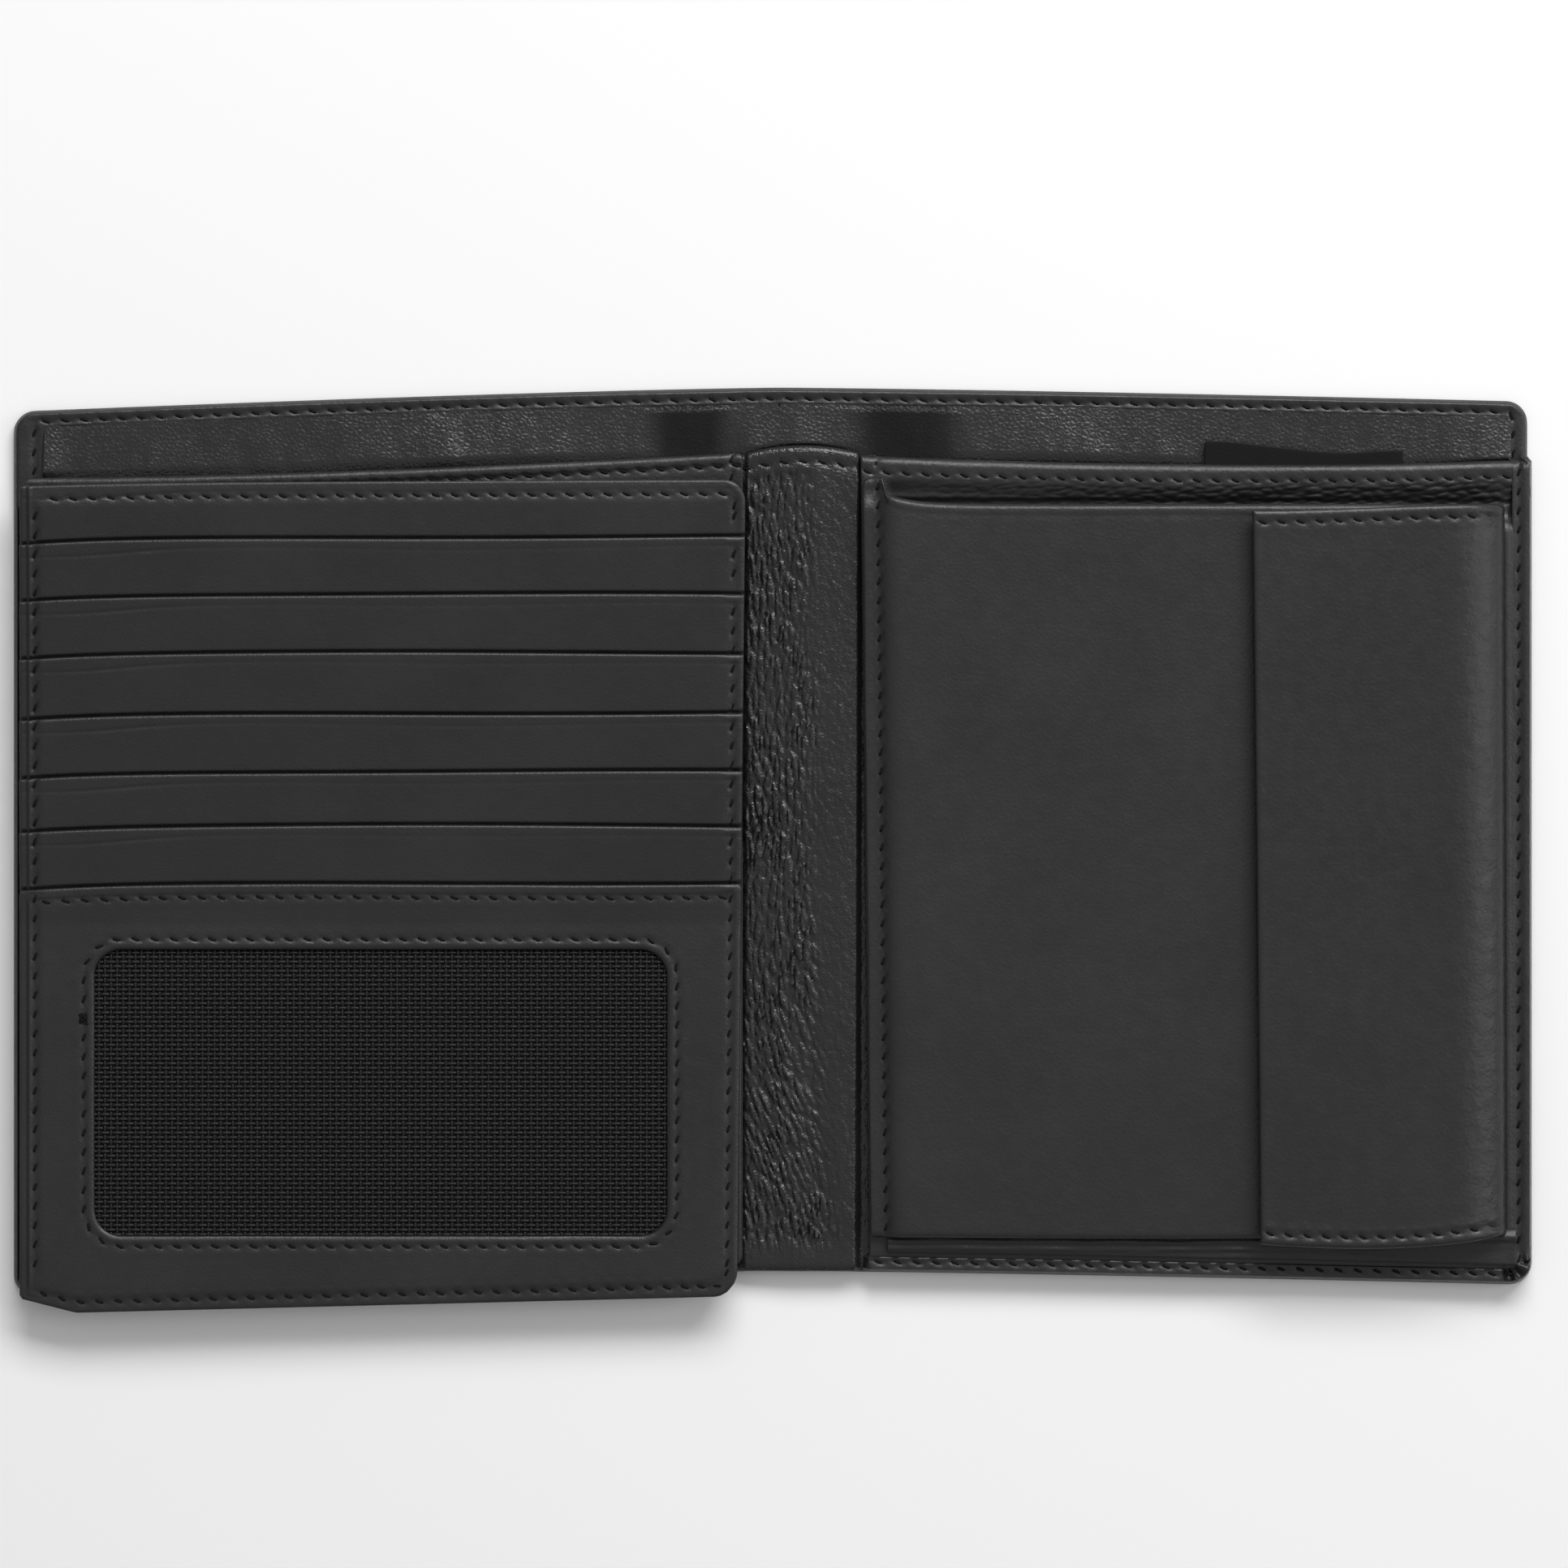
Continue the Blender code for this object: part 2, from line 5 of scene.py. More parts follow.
import bpy
import numpy as np
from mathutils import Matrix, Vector


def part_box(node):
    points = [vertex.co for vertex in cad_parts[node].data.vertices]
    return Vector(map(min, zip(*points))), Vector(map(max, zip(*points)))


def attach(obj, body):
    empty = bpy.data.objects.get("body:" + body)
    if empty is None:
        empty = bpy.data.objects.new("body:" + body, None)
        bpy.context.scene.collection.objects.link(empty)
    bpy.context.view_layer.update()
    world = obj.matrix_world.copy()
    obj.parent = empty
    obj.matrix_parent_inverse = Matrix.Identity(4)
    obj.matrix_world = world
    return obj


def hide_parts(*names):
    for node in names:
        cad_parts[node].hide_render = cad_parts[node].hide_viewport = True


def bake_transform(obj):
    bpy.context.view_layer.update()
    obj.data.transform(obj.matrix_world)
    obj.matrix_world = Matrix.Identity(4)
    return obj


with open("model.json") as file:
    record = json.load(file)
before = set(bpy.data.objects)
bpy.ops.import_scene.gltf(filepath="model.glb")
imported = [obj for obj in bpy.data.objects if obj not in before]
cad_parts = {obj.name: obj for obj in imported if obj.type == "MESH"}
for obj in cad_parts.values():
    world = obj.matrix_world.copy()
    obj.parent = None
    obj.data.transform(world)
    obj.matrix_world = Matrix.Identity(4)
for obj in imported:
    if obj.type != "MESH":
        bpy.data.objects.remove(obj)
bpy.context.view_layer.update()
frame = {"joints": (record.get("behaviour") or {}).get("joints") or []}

# Lengths are in millimetres, in the frame's axes, and become metres when a mesh is made.
MM = 0.001

# ---- driving dimensions ----

FINE = 0.42  # grid spacing along a seam
SEAM_STEP = 0.17  # grid spacing across a seam
SEAM_REACH = 1.3
MEDIUM = 0.8
COARSE = 1.8
EDGE_SHARES = (0.0, 0.12, 0.33, 0.64, 1.0)  # crowded grid lines over a sheet's rounded edge
EDGE_WALL = 0.22  # share of a sheet's thickness left as a flat wall at its very edge

STITCH_PITCH = 2.55
STITCH_LENGTH = 1.4
STITCH_REACH = 2.6  # distance to which a stitch moves the leather
STITCH_SLANT = math.radians(-20)
THREAD_RADIUS = 0.17
THREAD_SINK = 0.06
GROOVE_DEPTH = 0.11  # pressed in by each thread
GROOVE_WIDTH = 0.27
GROOVE_SHARE = 0.45  # share of the stitch's length at which the groove ends
HOLE_DEPTH = 0.15
HOLE_WIDTH = 0.24
CHANNEL_DEPTH = 0.02  # the seam's own valley
CHANNEL_LENGTH = 1.3
CHANNEL_WIDTH = 0.6
PUFF_HEIGHT = 0.03  # leather swells on both sides of a stitch
PUFF_PLACE = 0.95
PUFF_LENGTH = 0.75
PUFF_WIDTH = 0.4
LOOSE_PUFF = 0.08  # where the lower edge of a piece is sewn loosely

CREASE_BEND = 2.5  # leather turns over this distance each side of a crease
SHEET_END_ANGLE = math.radians(60)  # a sheet's flat end is shaded crisply and meets the next sheet unseen
DROOP_POWER = 1.3
CORNER_SIGNS = ((-1, -1), (1, -1), (1, 1), (-1, 1))  # anticlockwise from the lower left

# Widths and heights of the cover's turned edge, and distances of the seams from their pieces' edges
RIM_WIDTH = 2.15
RIM_TOP = 1.35
BOUND_RIM_TOP = 2.9  # where the turned edge also takes in the coin pocket's panel
BOUND_RIM_START = 11.2
RIM_SEAM = 1.5
SIDE_SEAM = 1.95
LEFT_SEAM = 2.8
PANEL_SEAM = 2.2
LEFT_PANEL_SEAM = 1.7
LEAF_SEAM = 1.45
LEAF_TOP_SEAM = 1.9
LEAF_LEFT_SEAM = 2.1
COIN_SEAM = 1.5
FLAP_SEAM = 1.55
WINDOW_SEAM = 1.4


def box(node):
    """A CAD node's lowest and highest corners at rest, in millimetres."""
    low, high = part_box(node)
    return low / MM, high / MM


def layer(node):
    """The height of the middle of a node's sheet, and its thickness."""
    low, high = box(node)
    return (low.z + high.z) / 2, high.z - low.z


# ---- places taken from the frame ----

COVER_LEFT = box("cover_left")
COVER_RIGHT = box("cover_right")
LEFT_END = COVER_LEFT[0].x
RIGHT_END = COVER_RIGHT[1].x
HALF_HEIGHT = box("cover_spine")[1].y
LEFT_DROOP = -COVER_LEFT[0].y - HALF_HEIGHT
RIGHT_DROOP = -COVER_RIGHT[0].y - HALF_HEIGHT
JOINTS = {joint["name"]: joint for joint in frame["joints"]}
RIGHT_CREASE = JOINTS["fold_right_crease"]["pos_m"][0] / MM
LEFT_CREASE = JOINTS["fold_left_crease"]["pos_m"][0] / MM

# The two halves of the cover: which side of the spine each lies on, its name, its body and its crease
Half = namedtuple("Half", "side name body crease")
HALVES = (Half(1, "right", "right_half", RIGHT_CREASE), Half(-1, "left", "left_half", LEFT_CREASE))


def droop(x):
    """How far the cover's outline has run down towards -Y at x."""
    x = np.asarray(x, float)
    reach = np.where(x > 0, RIGHT_END, -LEFT_END)
    amount = np.where(x > 0, RIGHT_DROOP, LEFT_DROOP)
    return amount * (np.abs(x) / reach) ** DROOP_POWER


def level(height):
    """An edge that follows the cover's droop."""
    return lambda x: height - droop(x)


def flat(height):
    """A straight edge."""
    return lambda x: height + 0 * x


# ---- small maths ----


def smooth(t):
    """Rises smoothly from 0 to 1 as t goes from 0 to 1."""
    t = np.clip(t, 0.0, 1.0)
    return t * t * (3 - 2 * t)


def ramp(x, start, end):
    """Rises smoothly from 0 at start to 1 at end, on whichever side of start that is."""
    return smooth((x - start) / (end - start))


def bump(x, centre, width):
    """A bell curve."""
    return np.exp(-(((x - centre) / width) ** 2))


def bumps(x, places):
    """A row of bell curves, each given by its height, middle and width."""
    return sum(height * bump(x, middle, width) for height, middle, width in places)


def lattice(seed, size=257):
    return np.random.RandomState(seed).rand(size, size)


def value_noise(u, v, seed):
    """Smooth noise in 0 to 1 with features about one unit across."""
    table = lattice(seed)
    size = len(table)
    iu, iv = np.floor(u).astype(int), np.floor(v).astype(int)
    fu, fv = smooth(u - iu), smooth(v - iv)
    near = table[iu % size, iv % size] * (1 - fu) + table[(iu + 1) % size, iv % size] * fu
    far = table[iu % size, (iv + 1) % size] * (1 - fu) + table[(iu + 1) % size, (iv + 1) % size] * fu
    return near * (1 - fv) + far * fv


def ripple(x, y, height, size, seed, shift=0.0):
    """Uneven relief with features of this size in X and Y. shift picks a place in the noise."""
    shift_x, shift_y = np.broadcast_to(shift, 2)
    return height * (value_noise(x / size[0] + shift_x, y / size[1] + shift_y, seed) - 0.5)


def cell_ridges(u, v, seed):
    """1 in the middle of each random cell of about one unit, falling to 0 in the creases between cells."""
    offsets_u, offsets_v = lattice(seed), lattice(seed + 1)
    size = len(offsets_u)
    iu, iv = np.floor(u).astype(int), np.floor(v).astype(int)
    crease_width = 0.42
    nearest = second = np.full(u.shape, np.inf)
    for du in (-1, 0, 1):
        for dv in (-1, 0, 1):
            cu, cv = iu + du, iv + dv
            pu = cu + offsets_u[cu % size, cv % size]
            pv = cv + offsets_v[cu % size, cv % size]
            distance = np.hypot(u - pu, v - pv)
            second = np.where(distance < nearest, nearest, np.minimum(second, distance))
            nearest = np.minimum(nearest, distance)
    return ramp(second - nearest, 0.0, crease_width)


# ---- sheets of leather ----


def turned(dx, dy, angle):
    """Distances along and across a direction."""
    return dx * math.cos(angle) + dy * math.sin(angle), -dx * math.sin(angle) + dy * math.cos(angle)


def stitch_relief(dx, dy, angle, puff_height):
    """What one stitch does to the leather at dx, dy from its middle: down under it, and up beside it."""
    along, across = turned(dx, dy, angle)
    on_thread, off_thread = turned(dx, dy, angle + STITCH_SLANT)
    channel = CHANNEL_DEPTH * bump(along, 0, CHANNEL_LENGTH) * bump(across, 0, CHANNEL_WIDTH)
    groove_end = np.exp(-((on_thread / (STITCH_LENGTH * GROOVE_SHARE)) ** 6))
    groove = GROOVE_DEPTH * groove_end * bump(off_thread, 0, GROOVE_WIDTH)
    beside = bumps(across, ((1, PUFF_PLACE, PUFF_WIDTH), (1, -PUFF_PLACE, PUFF_WIDTH)))
    puff = puff_height * bump(along, 0, PUFF_LENGTH) * beside
    from_holes = (np.hypot(on_thread - end * STITCH_LENGTH / 2, off_thread) for end in (-1, 1))
    holes = HOLE_DEPTH * sum(bump(distance, 0, HOLE_WIDTH) for distance in from_holes)
    return puff - channel - groove - holes


class Surface:
    """A sheet as a grid of points, with an upper and a lower face joined by a thin wall round its edge.

    x, y and z are the sheet's middle, inset is each point's distance from the sheet's edge, and normal is
    the direction (x, z) of its thickness. ring closes the grid's first direction on itself.
    """

    def __init__(self, x, y, z, inset, half, edge=FINE, ring=False, normal=None):
        self.x, self.y, self.z = x, y, np.broadcast_to(z, x.shape).astype(float)
        self.inset = inset
        rounding = np.clip(inset / edge, 0.0, 1.0)
        round_share = np.sqrt(1 - (1 - rounding) ** 2)
        self.half = half * (EDGE_WALL + (1 - EDGE_WALL) * round_share)
        self.keep = smooth(inset / edge)
        self.top = np.zeros(x.shape)
        self.under = np.zeros(x.shape)
        self.ring = ring
        self.normal = normal or (np.zeros(x.shape), np.ones(x.shape))

    def raise_top(self, relief):
        """Adds relief to the upper face, fading out over the rounded edge."""
        self.top = self.top + relief * self.keep
        return self

    def roughen(self, height, size, seed, shift):
        """Adds gentle unevenness to the upper face."""
        return self.raise_top(ripple(self.x, self.y, height, size, seed, shift))

    def raise_both(self, relief):
        """Bends the whole sheet up or down."""
        self.z = self.z + relief
        return self

    def face_points(self, upper):
        offset = self.half + self.top if upper else -(self.half + self.under)
        nx, nz = self.normal
        return np.stack([self.x + nx * offset, self.y, self.z + nz * offset], axis=-1)

    def mesh_data(self):
        """Points and four-sided faces of the closed body."""
        count, rows = self.x.shape
        upper = np.arange(count * rows).reshape(count, rows)
        lower = upper + count * rows
        if self.ring:
            upper = np.vstack([upper, upper[:1]])
            lower = np.vstack([lower, lower[:1]])
        faces = [
            np.stack([upper[:-1, :-1], upper[1:, :-1], upper[1:, 1:], upper[:-1, 1:]], -1).reshape(-1, 4),
            np.stack([lower[:-1, :-1], lower[:-1, 1:], lower[1:, 1:], lower[1:, :-1]], -1).reshape(-1, 4),
            np.stack([lower[:-1, 0], lower[1:, 0], upper[1:, 0], upper[:-1, 0]], -1),
            np.stack([upper[:-1, -1], upper[1:, -1], lower[1:, -1], lower[:-1, -1]], -1),
        ]
        if not self.ring:
            faces.append(np.stack([upper[0, :-1], upper[0, 1:], lower[0, 1:], lower[0, :-1]], -1))
            faces.append(np.stack([lower[-1, :-1], lower[-1, 1:], upper[-1, 1:], upper[-1, :-1]], -1))
        sides = [self.face_points(side).reshape(-1, 3) for side in (True, False)]
        return np.concatenate(sides), np.concatenate(faces)

    def seat(self, x, y, angle, upper):
        """Where a stitch lies on the face: its height, and how steeply the face climbs along the stitch."""
        heights = self.face_points(upper)[..., 2]
        reach = 0.6
        ends = []
        for step in (-reach, reach):
            from_x, from_y = x + step * math.cos(angle), y + step * math.sin(angle)
            nearest = np.argmin((self.x - from_x) ** 2 + (self.y - from_y) ** 2)
            ends.append(heights.flat[nearest])
        return (x, y, (ends[0] + ends[1]) / 2, angle, (ends[1] - ends[0]) / (2 * reach))

    def sew(self, stitches, upper=True, puff_height=PUFF_HEIGHT):
        """Presses a groove and two needle holes for each stitch. Returns the threads' seats."""
        relief = np.zeros(self.x.shape)
        seats = []
        for x, y, angle in stitches:
            seats.append(self.seat(x, y, angle, upper))
            near = (np.abs(self.x - x) < STITCH_REACH) & (np.abs(self.y - y) < STITCH_REACH)
            relief[near] += stitch_relief(self.x[near] - x, self.y[near] - y, angle, puff_height)
        if upper:
            self.top = self.top + relief * self.keep
        else:
            self.under = self.under + relief * self.keep
        return seats

    def curl(self, distance, reach, drop):
        """Turns the sheet down near one of its edges, like a soft fold."""
        return self.raise_both(-drop * (1 - np.clip(distance / reach, 0.0, 1.0)) ** 2)

    def lean(self, move):
        """Shifts every point sideways by move(x, y)."""
        self.x = self.x + move(self.x, self.y)
        return self


def spread(start, end, step, edge=FINE, seams=()):
    """Positions from start to end: crowded over the rounded edges and across seams, even elsewhere."""
    near = [start + edge * share for share in EDGE_SHARES]
    far = [end - edge * share for share in reversed(EDGE_SHARES)]
    walk = np.linspace(near[-1], far[0], 4001)
    local = np.full(walk.shape, float(step))
    for place in seams:
        local = np.where(np.abs(walk - place) < SEAM_REACH, min(SEAM_STEP, step), local)
    lines = np.concatenate([[0.0], np.cumsum(np.diff(walk) / local[1:])])
    count = max(2, round(lines[-1]))
    middle = np.interp(np.linspace(0.0, lines[-1], count + 1), lines, walk)
    return np.array([*near, *middle[1:-1], *far])


def corner_cut(distance, radius):
    """How much a round corner takes off at this distance from the end."""
    inside = np.clip(radius - distance, 0.0, radius)
    return radius - np.sqrt(radius**2 - inside**2)


def sheet(
    span,
    edges,
    z,
    thickness,
    steps,
    corners=(0, 0, 0, 0),
    open_ends=(False, False),
    edge=FINE,
    seams=((), ()),
):
    """A flat sheet between x = span and the curves edges = (lower, upper).

    z is the height of its middle, as a number or as z(x, y). steps is the grid's spacing in X and Y. corners
    are the radii at lower left, lower right, upper right and upper left. An open end isn't rounded, because
    the next sheet carries on there. seams are where the grid is finer: the x of upright seams, and the
    distances of level seams from the lower edge or, if negative, from the upper one.
    """
    start, end = span
    lower, upper = edges
    xs = spread(start, end, steps[0], edge, seams[0])
    low = lower(xs) + np.zeros(xs.shape)
    high = upper(xs) + np.zeros(xs.shape)
    low_cut = np.maximum(corner_cut(xs - start, corners[0]), corner_cut(end - xs, corners[1]))
    high_cut = np.maximum(corner_cut(xs - start, corners[3]), corner_cut(end - xs, corners[2]))
    height = float(np.mean(high - low))
    level_seams = [place if place > 0 else height + place for place in seams[1]]
    share = spread(0.0, height, steps[1], edge, level_seams) / height
    bottom, top = low + low_cut, high - high_cut
    x = np.repeat(xs[:, None], len(share), axis=1)
    y = bottom[:, None] + (top - bottom)[:, None] * share[None, :]
    far = 1e3
    from_left = np.full(x.shape, far) if open_ends[0] else x - start
    from_right = np.full(x.shape, far) if open_ends[1] else end - x
    from_low, from_high = y - low[:, None], high[:, None] - y
    inset = np.minimum(np.minimum(from_left, from_right), np.minimum(from_low, from_high))
    sides = ((from_left, from_low), (from_right, from_low), (from_right, from_high), (from_left, from_high))
    for radius, (across, along) in zip(corners, sides):
        in_corner = (across < radius) & (along < radius)
        rounded = radius - np.hypot(radius - across, radius - along)
        inset = np.where(in_corner, rounded, inset)
    inset = np.maximum(inset, 0.0)
    inset[:, 0] = 0.0
    inset[:, -1] = 0.0
    height_z = z(x, y) if callable(z) else np.full(x.shape, float(z))
    return Surface(x, y, height_z, inset, thickness / 2, edge)


# ---- stitches ----


def arc(centre, radius, first, last, count=9):
    """Points on a circle from one angle to another, in quarter turns."""
    turns = np.linspace(first, last, count) * math.pi / 2
    return [(centre[0] + radius * math.cos(t), centre[1] + radius * math.sin(t)) for t in turns]


def along_curve(start, end, curve, count=60):
    """Points on y = curve(x)."""
    return [(x, float(curve(x))) for x in np.linspace(start, end, count)]


def stitched(points, closed=False):
    """Stitches evenly along a path of points. Each is (x, y, direction)."""
    points = np.array(points, float)
    if closed:
        points = np.vstack([points, points[:1]])
    steps = np.diff(points, axis=0)
    lengths = np.hypot(steps[:, 0], steps[:, 1])
    travelled = np.concatenate([[0.0], np.cumsum(lengths)])
    count = max(1, round(travelled[-1] / STITCH_PITCH))
    stitches = []
    for k in range(count + (0 if closed else 1)):
        distance = travelled[-1] * k / count
        i = min(int(np.searchsorted(travelled, distance, side="right")) - 1, len(steps) - 1)
        x, y = points[i] + steps[i] * (distance - travelled[i]) / lengths[i]
        stitches.append((x, y, math.atan2(steps[i][1], steps[i][0])))
    return stitches


def shifted(stitches, move):
    """The stitches moved sideways with the leather they are in."""
    return [(x + float(move(x, y)), y, angle) for x, y, angle in stitches]


def thread_template():
    """One stitch along X: a plump thread whose ends dive into their holes."""
    rings, sides = 11, 8
    dive, thinnest, twist_depth = 0.40, 0.1, 0.10
    points = []
    for i in range(rings):
        t = -1 + 2 * i / (rings - 1)
        radius = THREAD_RADIUS * math.sqrt(max(thinnest, 1 - abs(t) ** 6))
        centre_z = -dive * abs(t) ** 4
        for k in range(sides):
            turn = 2 * math.pi * k / sides
            twist = 1 + twist_depth * math.sin(3 * turn + 6 * t)
            points.append((
                t * STITCH_LENGTH / 2,
                radius * twist * math.cos(turn),
                centre_z + radius * twist * math.sin(turn),
            ))
    faces = []
    for i in range(rings - 1):
        for k in range(sides):
            j = (k + 1) % sides
            faces.append((i * sides + k, (i + 1) * sides + k, (i + 1) * sides + j, i * sides + j))
    caps = [tuple(range(sides)), tuple(reversed(range((rings - 1) * sides, rings * sides)))]
    return np.array(points), faces, caps


def thread_mesh(seats, flip=False):
    """All threads of one seam as one mesh. flip lays them on the lower face."""
    template, quads, caps = thread_template()
    points, faces = [], []
    for x, y, z, angle, climb in seats:
        slanted = angle + STITCH_SLANT
        c, s = math.cos(slanted), math.sin(slanted)
        up = -1.0 if flip else 1.0
        moved = np.stack([
            x + template[:, 0] * c - template[:, 1] * s * up,
            y + template[:, 0] * s + template[:, 1] * c * up,
            z + (template[:, 2] - THREAD_SINK) * up + climb * template[:, 0],
        ], axis=-1)
        first = len(points) * len(template)
        points.append(moved)
        faces += [tuple(first + i for i in face) for face in quads + caps]
    return np.concatenate(points), faces


# ---- making pieces ----


def add_mesh(name, points, faces, finish):
    """A smooth-shaded mesh object from points in millimetres."""
    mesh = bpy.data.meshes.new(name)
    corners = faces.tolist() if isinstance(faces, np.ndarray) else faces
    mesh.from_pydata((np.asarray(points) * MM).tolist(), [], corners)
    mesh.validate()
    mesh.shade_smooth()
    mesh.materials.append(finish)
    made = bpy.data.objects.new(name, mesh)
    bpy.context.scene.collection.objects.link(made)
    return made


def add_surface(name, surface, finish):
    return add_mesh(name, *surface.mesh_data(), finish)


def settle(piece, body, slot, *nodes):
    """The piece rides on its body and stands for the nodes. The slot is not used."""
    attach(piece, body)
    if nodes:
        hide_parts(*nodes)
    return piece


def bend(piece, slot, bodies, start, end, *nodes):
    """The piece is shaded crisply at its flat ends, its place is baked into its points, and it stands for
    the nodes. The bodies and the two points are not used.
    """
    piece.data.set_sharp_from_angle(angle=SHEET_END_ANGLE)
    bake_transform(piece)
    if nodes:
        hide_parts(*nodes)
    return piece


def lay(surface, name, finish, body, slot, node, seats=(), flip=False):
    """Makes a sheet and its row of threads, and the sheet stands for the node."""
    end = "_cloth" if finish == CLOTH else "_leather"
    settle(add_surface(name + end, surface, finish), body, slot, node)
    if seats:
        add_threads(name + "_stitches", seats, body, flip)


def bend_over_crease(piece, slot, half, *nodes):
    """Passes the piece to bend, with the spine, the half and points either side of the half's crease."""
    ends = [(half.crease + turn * half.side * CREASE_BEND, 0, 0) for turn in (-1, 1)]
    return bend(piece, slot, ("spine", half.body), *ends, *nodes)


def add_threads(name, seats, body, flip=False):
    return settle(add_mesh(name, *thread_mesh(seats, flip), THREAD), body, "pocket_leather")


def add_crease_threads(half_name, spine_name, seats, half, flip=False):
    """The threads beyond the crease ride on the half, and those before it on the spine."""
    for name, body, beyond in ((half_name, half.body, True), (spine_name, "spine", False)):
        own = [seat for seat in seats if (half.side * seat[0] > abs(half.crease)) == beyond]
        if own:
            add_threads(name, own, body, flip)


# ---- materials ----


BLACK = (0.0090, 0.0090, 0.0095)
SOFT_BLACK = (0.0140, 0.0140, 0.0145)
NOISE_RANGE = (0.3, 0.7)  # the part of a noise's range that it mostly uses
# Upright bands of painted shade on the lining, where its reflection is lowered: middle and reach in X
LINING_PAINTED_SHADE_BANDS = ((-12.0, 6.5), (17.0, 9.0))


class Nodes:
    """Short calls for building a material's node tree."""

    def __init__(self, name):
        self.material = bpy.data.materials.new(name)
        self.material.use_nodes = True
        self.tree = self.material.node_tree
        self.shader = self.tree.nodes["Principled BSDF"]
        self.place = self.add("ShaderNodeTexCoord").outputs["Object"]

    def add(self, kind, **values):
        node = self.tree.nodes.new(kind)
        for key, value in values.items():
            setattr(node, key, value)
        return node

    def link(self, source, target):
        self.tree.links.new(source, target)

    def feed(self, name, source):
        """Links the source to one of the shader's inputs."""
        self.link(source, self.shader.inputs[name])

    def noise(self, scale, detail=3.0, stretch=None):
        """Noise in 0 to 1. scale is in features per millimetre, stretch multiplies each axis."""
        node = self.add("ShaderNodeTexNoise")
        node.inputs["Scale"].default_value = scale / MM
        node.inputs["Detail"].default_value = detail
        self.link(self.stretched(stretch), node.inputs["Vector"])
        return node.outputs["Fac"]

    def cells(self, scale, feature="DISTANCE_TO_EDGE", stretch=None):
        """Voronoi cells: the distance to each cell's edge or centre."""
        node = self.add("ShaderNodeTexVoronoi", feature=feature)
        node.inputs["Scale"].default_value = scale / MM
        self.link(self.stretched(stretch), node.inputs["Vector"])
        return node.outputs["Distance"]

    def stretched(self, stretch):
        if stretch is None:
            return self.place
        node = self.add("ShaderNodeVectorMath", operation="MULTIPLY")
        node.inputs[1].default_value = stretch
        self.link(self.place, node.inputs[0])
        return node.outputs[0]

    def ranged(self, source, low, high, new_low, new_high, interpolation="LINEAR"):
        """The source's range from low to high, spread over a new range."""
        node = self.add("ShaderNodeMapRange", interpolation_type=interpolation)
        for key, value in (("From Min", low), ("From Max", high), ("To Min", new_low), ("To Max", new_high)):
            node.inputs[key].default_value = value
        self.link(source, node.inputs["Value"])
        return node.outputs["Result"]

    def mixed(self, share, dark, light):
        """A colour between dark and light."""
        node = self.add("ShaderNodeMix", data_type="RGBA")
        node.inputs["A"].default_value = (*dark, 1.0)
        node.inputs["B"].default_value = (*light, 1.0)
        self.link(share, node.inputs["Factor"])
        return node.outputs[2]

    def times(self, source, factor):
        """The source multiplied by another output or by a number."""
        node = self.add("ShaderNodeMath", operation="MULTIPLY")
        self.link(source, node.inputs[0])
        if isinstance(factor, float):
            node.inputs[1].default_value = factor
        else:
            self.link(factor, node.inputs[1])
        return node.outputs[0]

    def bumped(self, height, strength, depth, below=None):
        """A bump of the given depth in millimetres, on top of another one."""
        node = self.add("ShaderNodeBump")
        node.inputs["Strength"].default_value = strength
        node.inputs["Distance"].default_value = depth * MM
        self.link(height, node.inputs["Height"])
        if below is not None:
            self.link(below, node.inputs["Normal"])
        return node.outputs["Normal"]

    def set(self, **values):
        """Sets the shader's inputs, with _ in place of the spaces in their names."""
        for key, value in values.items():
            self.shader.inputs[key.replace("_", " ")].default_value = value


def leather(
    name, roughness, grain_size, grain_depth, cloud=0.06, pore_depth=0.02, shine=0.5, colours=None, bands=()
):
    """Dyed leather: cloudy colour, a cell-like grain, fine pores and an uneven polish. Where bands are
    given, painted shade lowers its reflection in them.
    """
    n = Nodes(name)
    clouds = n.noise(cloud, detail=5.0)
    dark, light = colours or (BLACK, SOFT_BLACK)
    n.feed("Base Color", n.mixed(n.ranged(clouds, *NOISE_RANGE, 0.0, 1.0), dark, light))
    patches = n.noise(0.5, detail=5.0)
    rough = n.ranged(patches, *NOISE_RANGE, roughness - 0.05, roughness + 0.05)
    n.feed("Roughness", rough)
    grain = n.ranged(n.cells(1 / grain_size), 0.0, 0.35, 0.0, 1.0)
    pores = n.noise(4.0, detail=2.0)
    waves = n.noise(0.6, detail=4.0)
    normal = n.bumped(waves, strength=0.6, depth=0.06)
    normal = n.bumped(grain, strength=0.7, depth=grain_depth, below=normal)
    normal = n.bumped(pores, strength=0.6, depth=pore_depth, below=normal)
    n.feed("Normal", normal)
    n.set(Specular_IOR_Level=shine)
    # painted shade: the specular level is lowered in the given bands
    if bands:
        n.feed("Specular IOR Level", n.times(painted_shade_bands(n, bands), shine))
    return n.material


def painted_shade_bands(n, bands):
    """Painted shade: 1 where the leather reflects fully, and less in upright bands that stand in for dark
    reflections, given by their middle and reach in X.
    """
    unshaded_share = 1.0
    for middle, reach in bands:
        place = n.add("ShaderNodeVectorMath", operation="MULTIPLY_ADD")
        place.inputs[1].default_value = (1 / (reach * MM), 0.0, 0.0)
        place.inputs[2].default_value = (-middle / reach, 0.0, 0.0)
        n.link(n.place, place.inputs[0])
        distance = n.add("ShaderNodeVectorMath", operation="LENGTH")
        n.link(place.outputs[0], distance.inputs[0])
        outside = n.ranged(distance.outputs["Value"], 0.35, 1.0, 0.22, 1.0, "SMOOTHSTEP")
        unshaded_share = n.times(outside, unshaded_share)
    return unshaded_share


